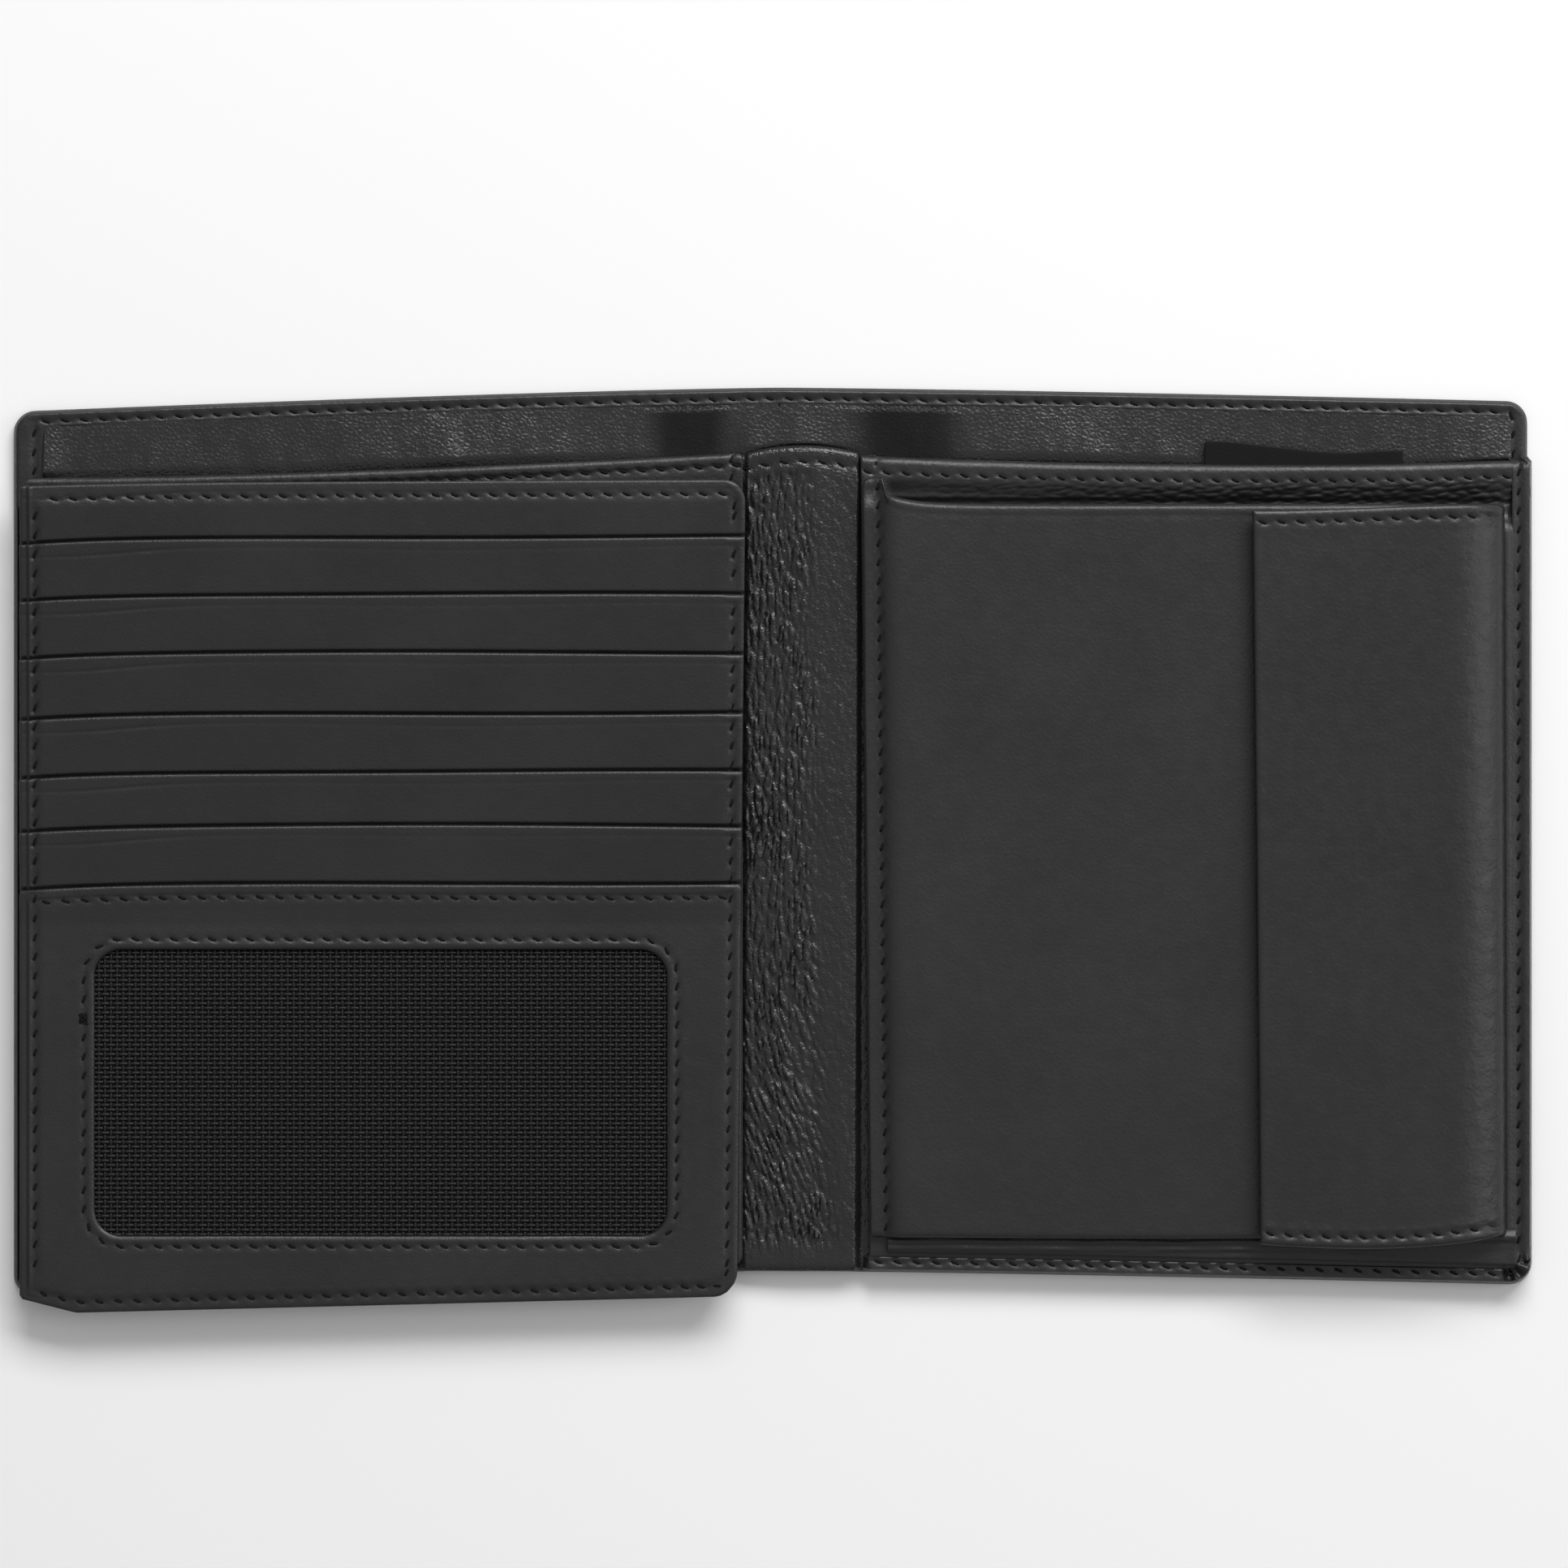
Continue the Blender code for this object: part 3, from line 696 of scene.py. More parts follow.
def cloth_look():
    """Matt cloth with a fine weave."""
    n = Nodes("backing_cloth_look")
    n.feed("Base Color", n.mixed(n.noise(0.3), (0.006, 0.006, 0.006), (0.012, 0.012, 0.012)))
    weave = n.add("ShaderNodeTexWave", bands_direction="DIAGONAL")
    weave.inputs["Scale"].default_value = 0.6 / MM
    n.link(n.place, weave.inputs["Vector"])
    n.feed("Normal", n.bumped(weave.outputs["Fac"], strength=0.8, depth=0.08))
    n.set(Roughness=0.9)
    return n.material


def net_look():
    """Dark nylon thread with fibres along it."""
    n = Nodes("window_net_look")
    fibres = n.noise(3.0)
    n.feed("Base Color", n.mixed(fibres, (0.004, 0.004, 0.005), (0.009, 0.009, 0.010)))
    n.feed("Roughness", n.ranged(fibres, *NOISE_RANGE, 0.48, 0.66))
    n.feed("Normal", n.bumped(n.noise(6.0, detail=2.0), strength=0.5, depth=0.03))
    n.set(Specular_IOR_Level=0.35)
    return n.material


def thread_look():
    """Waxed black sewing thread with a fine twist."""
    n = Nodes("thread_look")
    twist = n.add("ShaderNodeTexWave", bands_direction="DIAGONAL")
    twist.inputs["Scale"].default_value = 1.6 / MM
    n.link(n.place, twist.inputs["Vector"])
    twist = twist.outputs["Fac"]
    n.feed("Base Color", n.mixed(twist, (0.002, 0.002, 0.002), (0.006, 0.006, 0.006)))
    n.feed("Normal", n.bumped(twist, strength=0.6, depth=0.04))
    n.set(Roughness=0.85, Specular_IOR_Level=0.2)
    return n.material


def metal_look():
    """Dark nickel with fine scratches."""
    n = Nodes("snap_metal_look")
    scratches = n.noise(1.5, detail=6.0, stretch=(1.0, 14.0, 1.0))
    n.feed("Base Color", n.mixed(scratches, (0.16, 0.155, 0.15), (0.30, 0.29, 0.28)))
    n.feed("Roughness", n.ranged(scratches, *NOISE_RANGE, 0.22, 0.42))
    n.feed("Normal", n.bumped(scratches, strength=0.3, depth=0.02))
    n.set(Metallic=1.0)
    return n.material


COVER_LOOK = leather("cover_leather_look", 0.42, 0.9, 0.025)
INNER_LOOK = leather("inner_leather_look", 0.42, 0.7, 0.02)
POCKET_LOOK = leather("pocket_leather_look", 0.42, 0.6, 0.018)
FLAP_LOOK = leather("flap_leather_look", 0.40, 0.8, 0.02)
SPINE_LOOK = leather("spine_leather_look", 0.29, 0.5, 0.045)
TAB_LOOK = leather("note_tab_look", 0.6, 0.5, 0.02, shine=0.15, colours=(BLACK, BLACK))
# the lining's material carries painted shade in upright bands
LINING_LOOK = leather("lining_leather_look", 0.31, 0.62, 0.055, 0.05, 0.015, bands=LINING_PAINTED_SHADE_BANDS)
CLOTH = cloth_look()
NET = net_look()
THREAD = thread_look()
METAL = metal_look()


# ---- how the two halves lean ----

PANEL_TOP = 50.0
PANEL_REACH = 106.0  # height over which the leaning pieces are measured
RIGHT_LEAN = 1.15
RIGHT_LEAN_FADE = (60.0, 96.0)  # between these X the right half's lean shrinks to a quarter
LEAF_LEAN = -1.1
LEAF_LEAN_START = (-15.0, -4.5)


def down_from(top, y):
    """0 at the top, rising to 1 at the bottom of the panels."""
    return np.clip((top - y) / PANEL_REACH, 0.0, 1.0)


def lean_right(x, y):
    """The panel, coin pocket and flap lean outwards as they go down."""
    return RIGHT_LEAN * down_from(PANEL_TOP, y) * (1 - 0.75 * ramp(x, *RIGHT_LEAN_FADE))


def lean_leaf(x, y):
    """The card leaf narrows slightly as it goes down."""
    return LEAF_LEAN * down_from(LEAF_TOP, y) * ramp(x, *LEAF_LEAN_START)


# ---- cover ----

COVER_CORNERS = {"right": (0, 3.1, 2.8, 0), "left": (2.6, 0, 0, 2.8)}
COVER_EDGE = 0.55
COVER_STEP = 0.6  # the cover is a little narrower above the coin pocket's panel
SEAM_TURN = 1.3  # radius of the seam at the cover's corners
SEAM_START = 1.3  # its distance from the spine's middle at the top
PLUMP = 0.05  # the turned edge swells by this much
BOUND_PLUMP = 0.02  # and by this much where it takes in the panel
SIDE_PLUMP = 0.14  # and by this much more at the coin pocket's side
PUCKER_DEPTH = 0.42


def side_seam(half):
    """The seam's distance from the half's outer edge."""
    return SIDE_SEAM if half.side > 0 else LEFT_SEAM


def cover_step(x, y):
    return -COVER_STEP * ramp(y, 49.2, 49.7) * ramp(x, 88.0, 98.0)


def rim_relief(surface, half):
    """The turned edge: a plump band round the cover, higher where it takes in the coin pocket's panel."""
    x, y = surface.x, surface.y
    on_right = half.side > 0
    from_side = (RIGHT_END - x if on_right else x - LEFT_END) * RIM_SEAM / side_seam(half)
    inset = np.minimum(surface.inset, from_side)
    from_bottom = y + HALF_HEIGHT + droop(x)
    side_start = RIGHT_END - RIM_WIDTH - 1.4
    near_bottom = ramp(from_bottom, RIM_WIDTH + 2.0, RIM_WIDTH + 1.2)
    near_side = ramp(x, side_start, side_start + 0.8) * ramp(y, 49.5, 48.8)
    near_edge = np.maximum(near_bottom, near_side)
    bound = ramp(x, BOUND_RIM_START, BOUND_RIM_START + 0.5) * near_edge * on_right
    top = RIM_TOP + (BOUND_RIM_TOP - RIM_TOP) * bound
    plump = PLUMP + (BOUND_PLUMP - PLUMP) * bound
    bead = (plump + SIDE_PLUMP * near_side * on_right) * bump(inset, RIM_SEAM / 2, 0.5)
    valley = plump * bump(inset, RIM_SEAM + 0.1, 0.3)
    dents = ripple(x, y, 0.08, (1.8, 1.8), seed=31)
    band = ramp(inset, RIM_WIDTH + 0.3, RIM_WIDTH + 0.05)
    return (top - COVER_LEFT[1].z + bead - valley + dents) * band


def corner_puckers(surface):
    """Radial pleats where the leather is gathered round the coin pocket's bottom corner."""
    corner = 3.6
    dx = surface.x - (RIGHT_END - corner)
    dy = surface.y + HALF_HEIGHT + RIGHT_DROOP - corner
    angle = np.arctan2(dy, dx)
    distance = np.hypot(dx, dy)
    in_corner = ramp(angle, -2.0, -1.7) * ramp(angle, 0.25, -0.05)
    in_ring = ramp(distance, 0.0, 1.2) * ramp(distance, 5.0, 4.0)
    return PUCKER_DEPTH * np.cos(angle * 12 + 1.5 * np.sin(angle * 5)) * in_ring * in_corner


def outwards(half, inner, outer):
    """The span in X between two distances from the spine's middle, on the half's side."""
    return (inner, outer) if half.side > 0 else (-outer, -inner)


def outer_end(half):
    return RIGHT_END if half.side > 0 else -LEFT_END


def open_at_spine(half):
    return (half.side > 0, half.side < 0)


def with_spine(half, *nodes):
    """The right half's piece also stands for the nodes on the spine."""
    return nodes if half.side > 0 else ()


def cover_half(half):
    """Half of the outer leather, from the middle of the spine to the outer edge."""
    middle_z, thickness = layer("cover_left")
    surface = sheet(
        outwards(half, 0.0, outer_end(half)),
        (level(-HALF_HEIGHT), level(HALF_HEIGHT)),
        middle_z,
        thickness,
        (FINE, 0.7),
        COVER_CORNERS[half.name],
        open_ends=open_at_spine(half),
        edge=COVER_EDGE,
        seams=((half.side * (outer_end(half) - side_seam(half)),), (RIM_SEAM, -RIM_SEAM)),
    )
    surface.raise_top(rim_relief(surface, half))
    if half.name == "right":
        surface.raise_top(corner_puckers(surface))
        surface.lean(cover_step)
    return surface


def cover_seam(half):
    """The seam round one half of the cover: along the top, down the side and back along the bottom."""
    on_right = half.side > 0
    side_x = half.side * (outer_end(half) - side_seam(half))
    corner_x = side_x - half.side * SEAM_TURN
    bottom_end = BOUND_RIM_START + 2.0 if on_right else LEFT_CREASE - 2.0
    top, bottom = level(HALF_HEIGHT - RIM_SEAM), level(-HALF_HEIGHT + RIM_SEAM)
    outer_turn, bottom_turn = (0.0, -1.0) if on_right else (2.0, 3.0)
    upper = arc((corner_x, float(top(corner_x)) - SEAM_TURN), SEAM_TURN, 1.0, outer_turn)
    lower = arc((corner_x, float(bottom(corner_x)) + SEAM_TURN), SEAM_TURN, outer_turn, bottom_turn)
    path = along_curve(half.side * SEAM_START, corner_x, top) + upper[1:] + lower
    seam = stitched(path + along_curve(corner_x, bottom_end, bottom)[1:])
    return shifted(seam, cover_step) if on_right else seam


def build_cover():
    for half in HALVES:
        surface = cover_half(half)
        seam = cover_seam(half)
        rows = (("inside", surface.sew(seam), False), ("outside", surface.sew(seam, upper=False), True))
        node = "cover_" + half.name
        piece = add_surface(node + "_leather", surface, COVER_LOOK)
        bend_over_crease(piece, "cover_leather", half, node, *with_spine(half, "cover_spine"))
        for name, seats, flip in rows:
            add_crease_threads(f"{node}_{name}_stitches", f"{node}_{name}_spine_stitches", seats, half, flip)


# ---- note compartment ----

# Where along X the loose lining billows towards the panels or hangs back: height, middle and width
LINING_BILLOWS = (
    (0.6, -98.5, 2.5),
    (0.55, -44.0, 12.0),
    (-0.8, -12.0, 5.0),
    (-0.45, 17.0, 8.0),
    (0.4, 38.0, 7.0),
    (0.3, 94.0, 4.0),
)
LINING_HANGS = ((0.50, -12.0, 4.5), (0.35, 17.0, 7.0))
LINING_TUCK = 0.4  # the lining runs in under the rim by this much
TAB_TOP, TAB_BOTTOM = 51.85, 46.6
TAB_SAG = 1.55


def opening_edge(x):
    """The top edge of whatever lies in front of the note compartment."""
    right = np.where(x > RIGHT_PANEL_START, panel_fold(x), strip_top(x))
    return np.where(x < LEFT_CREASE, left_panel_top(x), right)


def lining_waves(x, y):
    """Loose lining. Where it billows it rises towards the panels, and in between it hangs the other way."""
    edge = opening_edge(x)
    rim = HALF_HEIGHT - RIM_WIDTH - droop(x)
    billow = np.maximum(0.45 + bumps(x, LINING_BILLOWS) - 0.15 * ramp(x, 45.0, 65.0), 0.0)
    ripples = ripple(x, y, 0.36, (3.0, 14.0), seed=11, shift=40)
    creases = ripple(x, y, 0.18, (1.2, 6.0), seed=12, shift=40)
    share = np.clip((rim - y) / (rim - edge), 0.0, 1.0)
    tucked = ramp(y, edge - 0.35, edge + 0.45)
    hang = ramp(share, 0.0, 1 / 6) * (1 - share) * bumps(x, LINING_HANGS)
    return share * (billow + ripples + creases) * tucked + hang


def build_lining():
    inner = HALF_HEIGHT - RIM_WIDTH + LINING_TUCK
    for half in HALVES:
        side_rim = RIM_WIDTH * side_seam(half) / RIM_SEAM
        surface = sheet(
            outwards(half, 0.0, outer_end(half) - side_rim),
            (level(-inner), level(inner)),
            *layer("lining_left"),
            (0.5, 0.9),
            (1.0,) * 4,
            open_ends=open_at_spine(half),
            edge=0.3,
            seams=((), (-1.2, -3.0, -5.0)),
        )
        surface.raise_both(lining_waves(surface.x, surface.y))
        node = "lining_" + half.name
        piece = add_surface(node + "_leather", surface, LINING_LOOK)
        bend_over_crease(piece, "lining_leather", half, node, *with_spine(half, "lining_spine"))


def build_note_tab():
    """The small tab inside the note compartment, whose top edge sags and stands forward."""
    low, high = box("note_tab")

    def top_edge(x):
        along = (x - low.x) / (high.x - low.x)
        return TAB_TOP - TAB_SAG * ramp(along, 0.0, 0.72) + 0.35 * ramp(along, 0.7, 1.0)

    edges = (flat(TAB_BOTTOM), top_edge)
    surface = sheet((low.x, high.x), edges, *layer("note_tab"), (FINE, FINE), (0, 0, 0.4, 0.4), edge=0.2)
    forward = np.clip((surface.y - 48.2) / 3.6, 0.0, 1.0)
    surface.raise_both(0.05 + 0.85 * forward)
    surface.roughen(0.05, size=(3, 3), seed=14, shift=9)
    lay(surface, "note_tab", TAB_LOOK, "right_half", "inner_leather", "note_tab")


# ---- spine strip ----

STRIP_LEFT = -7.5
STRIP_RIGHT = 13.0
STRIP_STEP = 0.19
STRIP_BOTTOM = -59.0
STRIP_TOP = 49.9
STRIP_ARCH = 1.3
STRIP_LOW = 1.45  # height of the strip where it is tucked under the panels
STRIP_RISE = 0.65
STRIP_HALF = 0.15  # half its thickness there. Elsewhere it is twice as thick
WRINKLE_SEED = 23


def strip_top(x):
    """The strip's hemmed top edge arches between the two panels."""
    along = np.clip((x + 6.5) / 17.5, 0, 1)
    return STRIP_TOP + STRIP_ARCH * np.sin(along * math.pi) ** 0.8 + 0.03 * x


def strip_height(x, y):
    """The strip's middle, and half its thickness. It dips under the panels, more so lower down."""
    down = down_from(PANEL_TOP, y)
    left = ramp(x, -4.9 - 0.9 * down, -4.1 - 0.4 * down)
    left = np.maximum(left, 0.35 * ramp(y, 44.0, 47.0))
    right = ramp(x, 11.0 - 0.1 * down, 10.4 - 0.45 * down)
    swell = 0.45 * bump(x, 3.0, 4.5) + 0.35 * down * bump(x, 8.5, 2.5)
    free = left * right
    return STRIP_LOW + (STRIP_RISE + swell) * free, STRIP_HALF * (1 + free)


def wrinkles(x, y):
    """Deep upright creases at the strip's left, slanting lower down, and smoother leather at its right."""
    drift = ripple(x, y, 1.3, (9, 14), seed=WRINKLE_SEED, shift=50)
    creased_end = 6.2 + 2.6 * ramp(y, -12.0, -42.0) + 2.0 * drift
    creased = ramp(x, creased_end, creased_end - 4.6)
    patches = 0.45 + 0.55 * value_noise(x / 4 + 9, y / 9 + 90, 5)
    slant = 0.16 * y * ramp(y, -15.0, -50.0)
    upright = cell_ridges((x + drift + slant) / 0.85 + 300, y / 4.8 + 300, WRINKLE_SEED + 2)
    pebbles = cell_ridges((x + drift) / 0.62 + 300, (y + 0.6 * x) / 1.25 + 300, WRINKLE_SEED + 5)
    diagonal = cell_ridges((x + 0.42 * y) / 1.5 + 300, (y - 0.42 * x) / 3.4 + 300, WRINKLE_SEED + 8)
    deep = (0.32 * upright + 0.12 * pebbles + 0.16 * diagonal) * patches - 0.38
    shallow = 0.02 * upright + 0.05 * pebbles + 0.04 * diagonal
    fine = ripple(x, y, 0.035, (0.42, 0.6), seed=77, shift=60)
    hem_edge = strip_top(x) - 2.7
    inside = ramp(y, hem_edge, hem_edge - 1.4) * ramp(y, -57.4, -53.8)
    hem = ripple(x, y, 0.05, (0.6, 3), seed=3, shift=10)
    return (deep * creased + shallow * (1 - creased) + fine) * inside + hem * (1 - inside)


def build_spine_strip():
    thickness = layer("spine_strip")[1]
    seam = stitched(along_curve(-4.4, 10.7, lambda x: strip_top(x) - PANEL_SEAM))
    for half, end, row in zip(HALVES, (STRIP_RIGHT, -STRIP_LEFT), "ba"):
        surface = sheet(
            outwards(half, 0.0, end),
            (flat(STRIP_BOTTOM), strip_top),
            lambda x, y: strip_height(x, y)[0],
            thickness,
            (STRIP_STEP, STRIP_STEP * 1.3),
            open_ends=open_at_spine(half),
        )
        surface.half = surface.half * strip_height(surface.x, surface.y)[1] / (2 * STRIP_HALF)
        below_top = strip_top(surface.x) - surface.y
        surface.curl(below_top, reach=0.9, drop=0.45)
        surface.curl(surface.y - STRIP_BOTTOM, reach=1.2, drop=0.35)
        surface.raise_top(wrinkles(surface.x, surface.y) - 0.06 * bump(below_top, PANEL_SEAM, 0.5))
        seats = surface.sew([stitch for stitch in seam if (stitch[0] > 0) == (half.side > 0)])
        piece = add_surface(f"spine_strip_{half.name}_leather", surface, SPINE_LOOK)
        bend_over_crease(piece, "spine_leather", half, *with_spine(half, "spine_strip", "spine_strip_right"))
        add_crease_threads(f"spine_hem_{half.body}_stitches", "spine_hem_stitches_" + row, seats, half)


# ---- inner panels ----

RIGHT_PANEL_START = box("inner_panel_right")[0].x
LEFT_PANEL_LOW, LEFT_PANEL_HIGH = box("inner_panel_left")
LEFT_PANEL_END = -4.9
LEFT_PANEL_FALL = 3.4  # its top edge falls by this much towards the outer edge
UPRIGHT_SEAM = 1.5  # distance of an upright seam from its piece's end
PANEL_FOLD_TOP = 50.0


def left_panel_top(x):
    """The left panel's top edge falls away towards the outer edge and levels out there."""
    along = np.clip((-3.5 - x) / 95.0, 0.0, 1.0)
    return LEFT_PANEL_HIGH.y - 0.3 - LEFT_PANEL_FALL * (1 - (1 - along) ** 1.6)


def outline_bottom(low):
    """The edge that follows the cover's droop through a sheet's lowest corner, at its left end."""
    return level(low.y + float(droop(low.x)))


def build_left_panel():
    low, end_x, top = LEFT_PANEL_LOW, LEFT_PANEL_END, left_panel_top
    surface = sheet(
        (low.x, end_x),
        (outline_bottom(low), top),
        *layer("inner_panel_left"),
        (FINE, 0.7),
        (1.2, 1.2, 0.8, 1.2),
        seams=((end_x - UPRIGHT_SEAM,), (-LEFT_PANEL_SEAM, -0.5)),
    )
    below_top = top(surface.x) - surface.y
    surface.curl(below_top, reach=0.9, drop=0.4)
    surface.roughen(0.10, size=(5, 5), seed=13, shift=70)
    surface.raise_top(-0.10 * ramp(below_top, 1.2, 1.7))
    seam = stitched(along_curve(low.x + 1.6, end_x - 0.9, lambda x: top(x) - LEFT_PANEL_SEAM))
    seam += stitched([(end_x - UPRIGHT_SEAM, float(top(end_x)) - 0.8), (end_x - UPRIGHT_SEAM, -56.5)])
    node = "inner_panel_left"
    lay(surface, node, INNER_LOOK, "left_half", "inner_leather", node, surface.sew(seam))


def build_slip_pocket():
    """The pocket under the leaf, open at its top edge and sewn round the other three sides."""
    low, high = box("slip_pocket_left")
    lower = outline_bottom(low)
    left_x, right_x, turn = low.x + UPRIGHT_SEAM, high.x - UPRIGHT_SEAM, 1.0

    def upper(x):
        thumb_notch = 1.6 * bump(x, (low.x + high.x) / 2, 7.0)
        return high.y - droop(x) - thumb_notch

    def lower_seam(x):
        return lower(x) + UPRIGHT_SEAM

    surface = sheet(
        (low.x, high.x),
        (lower, upper),
        *layer("slip_pocket_left"),
        (FINE, MEDIUM),
        (1.2,) * 4,
        seams=((left_x, right_x), (UPRIGHT_SEAM,)),
    )
    surface.curl(upper(surface.x) - surface.y, reach=0.6, drop=0.15)
    surface.roughen(0.12, size=(9, 9), seed=17, shift=20)
    path = [(left_x, high.y - 5.0), (left_x, float(lower_seam(left_x)) + turn)]
    path += arc((left_x + turn, float(lower_seam(left_x)) + turn), turn, 2.0, 3.0)[1:]
    path += along_curve(left_x + turn, right_x - turn, lower_seam)[1:]
    path += arc((right_x - turn, float(lower_seam(right_x)) + turn), turn, -1.0, 0.0)[1:]
    path += [(right_x, high.y - 1.5)]
    seats = surface.sew(stitched(path))
    lay(surface, "slip_pocket", POCKET_LOOK, "left_half", "inner_leather", "slip_pocket_left", seats)


def panel_fold(x):
    """The right panel's top fold sags a little between its ends."""
    along = np.clip((x - 11.0) / 86.0, 0, 1)
    return PANEL_FOLD_TOP - 0.95 * along**0.6 - 0.6 * np.sin(along * math.pi) + 0.2 * ramp(along, 0.85, 1.0)


def panel_relief(x, y):
    """Slanting wrinkles under the fold, the bound layers at the panel's outer end, and soft unevenness."""
    below_top = panel_fold(x) - y
    wrinkled = ramp(below_top, 2.4, 3.1) * ramp(y, 43.0, 44.0) * ramp(x, 15.0, 21.0)
    depth = 0.05 + 0.16 * ramp(x, 15.0, 65.0)
    slanted = cell_ridges((x + 1.6 * y) / 2.6 + 300, (y - 0.25 * x) / 0.85 + 100, 41)
    layers = (0.45 * ramp(x, 96.45, 96.57) - 0.3 * ramp(x, 97.15, 97.27)) * ramp(y, 44.8, 40.8)
    return depth * (slanted - 0.7) * wrinkled + layers + ripple(x, y, 0.08, (4, 2), seed=15, shift=30)


def build_right_panel():
    low = box("inner_panel_right")[0]
    end_x = RIGHT_END - 2.4
    seam_x = low.x + PANEL_SEAM
    surface = sheet(
        (low.x, end_x),
        (level(-57.0), panel_fold),
        *layer("inner_panel_right"),
        (FINE, 0.7),
        (0, 0.8, 0.5, 0.3),
        seams=((seam_x,), (-0.5, -PANEL_SEAM, -4.2, -5.6)),
    )
    below_top = panel_fold(surface.x) - surface.y
    surface.curl(below_top, reach=1.1, drop=0.55)
    valley = ramp(below_top, 2.4, 5.0) * ramp(surface.y, 40.0, 42.0) * ramp(surface.x, 13.6, 14.8)
    surface.raise_both(-valley * (0.75 + 0.45 * ramp(surface.y, 44.5, 43.6)))
    surface.raise_top(panel_relief(surface.x, surface.y))
    surface.lean(lean_right)
    seam = stitched(along_curve(low.x + 0.9, end_x - 1.2, lambda x: panel_fold(x) - PANEL_SEAM))
    seam += [(seam_x, 49.2, math.pi / 2)]
    seats = surface.sew(shifted(seam, lean_right))
    node = "inner_panel_right"
    lay(surface, node, INNER_LOOK, "right_half", "inner_leather", node, seats)


# ---- coin pocket ----

COIN_TOP, COIN_BOTTOM = 43.35, -54.35
COIN_WALL = 0.5
PLEAT_WALL = 0.4
TOP_PLEAT_Z = 2.5
BOTTOM_PLEAT_Z = 3.35


def coin_top(x):
    """The front wall's folded top edge. At the left seam a band of it runs on up to the panel's hem."""
    return COIN_TOP + 1.5 * np.exp(-np.maximum(x - 13.9, 0.0) / 3.4) + 2.2 * ramp(x, 14.3, 13.6)


def coin_bottom(x):
    return COIN_BOTTOM + 0.35 * bump(x, 96.0, 12.0) - 0.2 * bump(x, 50.0, 25.0)


def build_coin_back():
    low, high = box("coin_pocket_back")
    span, edges = (low.x + 0.6, high.x), (flat(-53.9), flat(43.3))
    back = sheet(span, edges, *layer("coin_pocket_back"), (COARSE, COARSE))
    back.roughen(0.04, size=(6, 6), seed=19, shift=20)
    back.lean(lean_right)
    lay(back, "coin_pocket_back", INNER_LOOK, "right_half", "inner_leather", "coin_pocket_back")


def build_coin_front():
    """The front wall rises from its left seam on the back wall to the height of the pleats."""
    low, high = box("coin_pocket_front")
    seam_x = low.x + COIN_SEAM
    seam_z = box("coin_pocket_back")[1].z + COIN_WALL / 2
    flat_z = high.z - COIN_WALL / 2

    def middle(x, y):
        rise = np.sin(ramp(x, low.x + 0.4, low.x + 4.8) * math.pi / 2)
        sunk_band = 0.6 * ramp(y, 42.4, 45.2) * ramp(x, 14.6, 13.8)
        return seam_z + (flat_z - seam_z) * rise - sunk_band

    front = sheet(
        (low.x - 0.6, high.x),
        (coin_bottom, coin_top),
        middle,
        COIN_WALL,
        (MEDIUM, FINE),
        (0.8, 0, 0, 1.4),
        seams=((seam_x,), (-0.4,)),
    )
    below_top = coin_top(front.x) - front.y
    front.curl(below_top, reach=0.85, drop=0.42)
    front.curl(front.y - coin_bottom(front.x), reach=0.6, drop=0.42)
    soft = ripple(front.x, front.y, 0.16, (16, 16), seed=29, shift=30)
    puckers = ripple(front.x, front.y, 0.07, (0.9, 3), seed=28, shift=30) * bump(below_top, 1.0, 0.9)
    front.raise_top(soft + puckers - 0.04 * bump(below_top, 1.6, 0.3))
    front.lean(lean_right)
    seats = front.sew(shifted(stitched([(seam_x, -52.9), (seam_x, 45.8)]), lean_right))
    lay(front, "coin_pocket_front", INNER_LOOK, "right_half", "inner_leather", "coin_pocket_front")
    add_threads("coin_pocket_stitches", seats, "right_half")


def build_top_gusset():
    """The pleat that joins the two walls above the pocket's mouth."""
    low, high = box("coin_gusset_top")
    span, edges = (low.x - 2.0, high.x), (flat(41.4), flat(43.1))
    pleat = sheet(span, edges, TOP_PLEAT_Z, PLEAT_WALL, (FINE, 0.2), edge=0.3)
    pleat.raise_both(-0.5 * ramp(pleat.y, 42.2, 43.1))
    creases = cell_ridges((pleat.x + pleat.y) / 2.4 + 100, pleat.y / 0.8 + 100, 43)
    pleat.raise_top(0.08 * (creases - 0.6))
    pleat.lean(lean_right)
    lay(pleat, "coin_gusset_top", SPINE_LOOK, "right_half", "inner_leather", "coin_gusset_top")


def build_bottom_gusset():
    """The pleats that join the two walls below, which show as two folds under the front wall."""
    low = box("coin_gusset_bottom")[0]
    span, edges = (low.x - 2.4, RIGHT_END - 2.6), (level(-56.3), lambda x: coin_bottom(x) + 0.6)
    pleat = sheet(span, edges, BOTTOM_PLEAT_Z, PLEAT_WALL, (FINE, 0.16), edge=0.3)
    fold = coin_bottom(pleat.x) - pleat.y
    opened = 1 - 0.55 * ramp(pleat.x, 70.0, 98.0)
    folds = 0.22 * bump(fold, 0.55 * opened, 0.4) + 0.20 * bump(fold, 1.45 * opened, 0.4)
    pleat.raise_both(folds - 0.08 * np.clip(fold, 0.0, 2.2) * opened)
    pleat.roughen(0.10, size=(4, 0.4), seed=47, shift=(9, 200))
    pleat.lean(lean_right)
    lay(pleat, "coin_gusset_bottom", INNER_LOOK, "right_half", "inner_leather", "coin_gusset_bottom")


# ---- coin flap ----

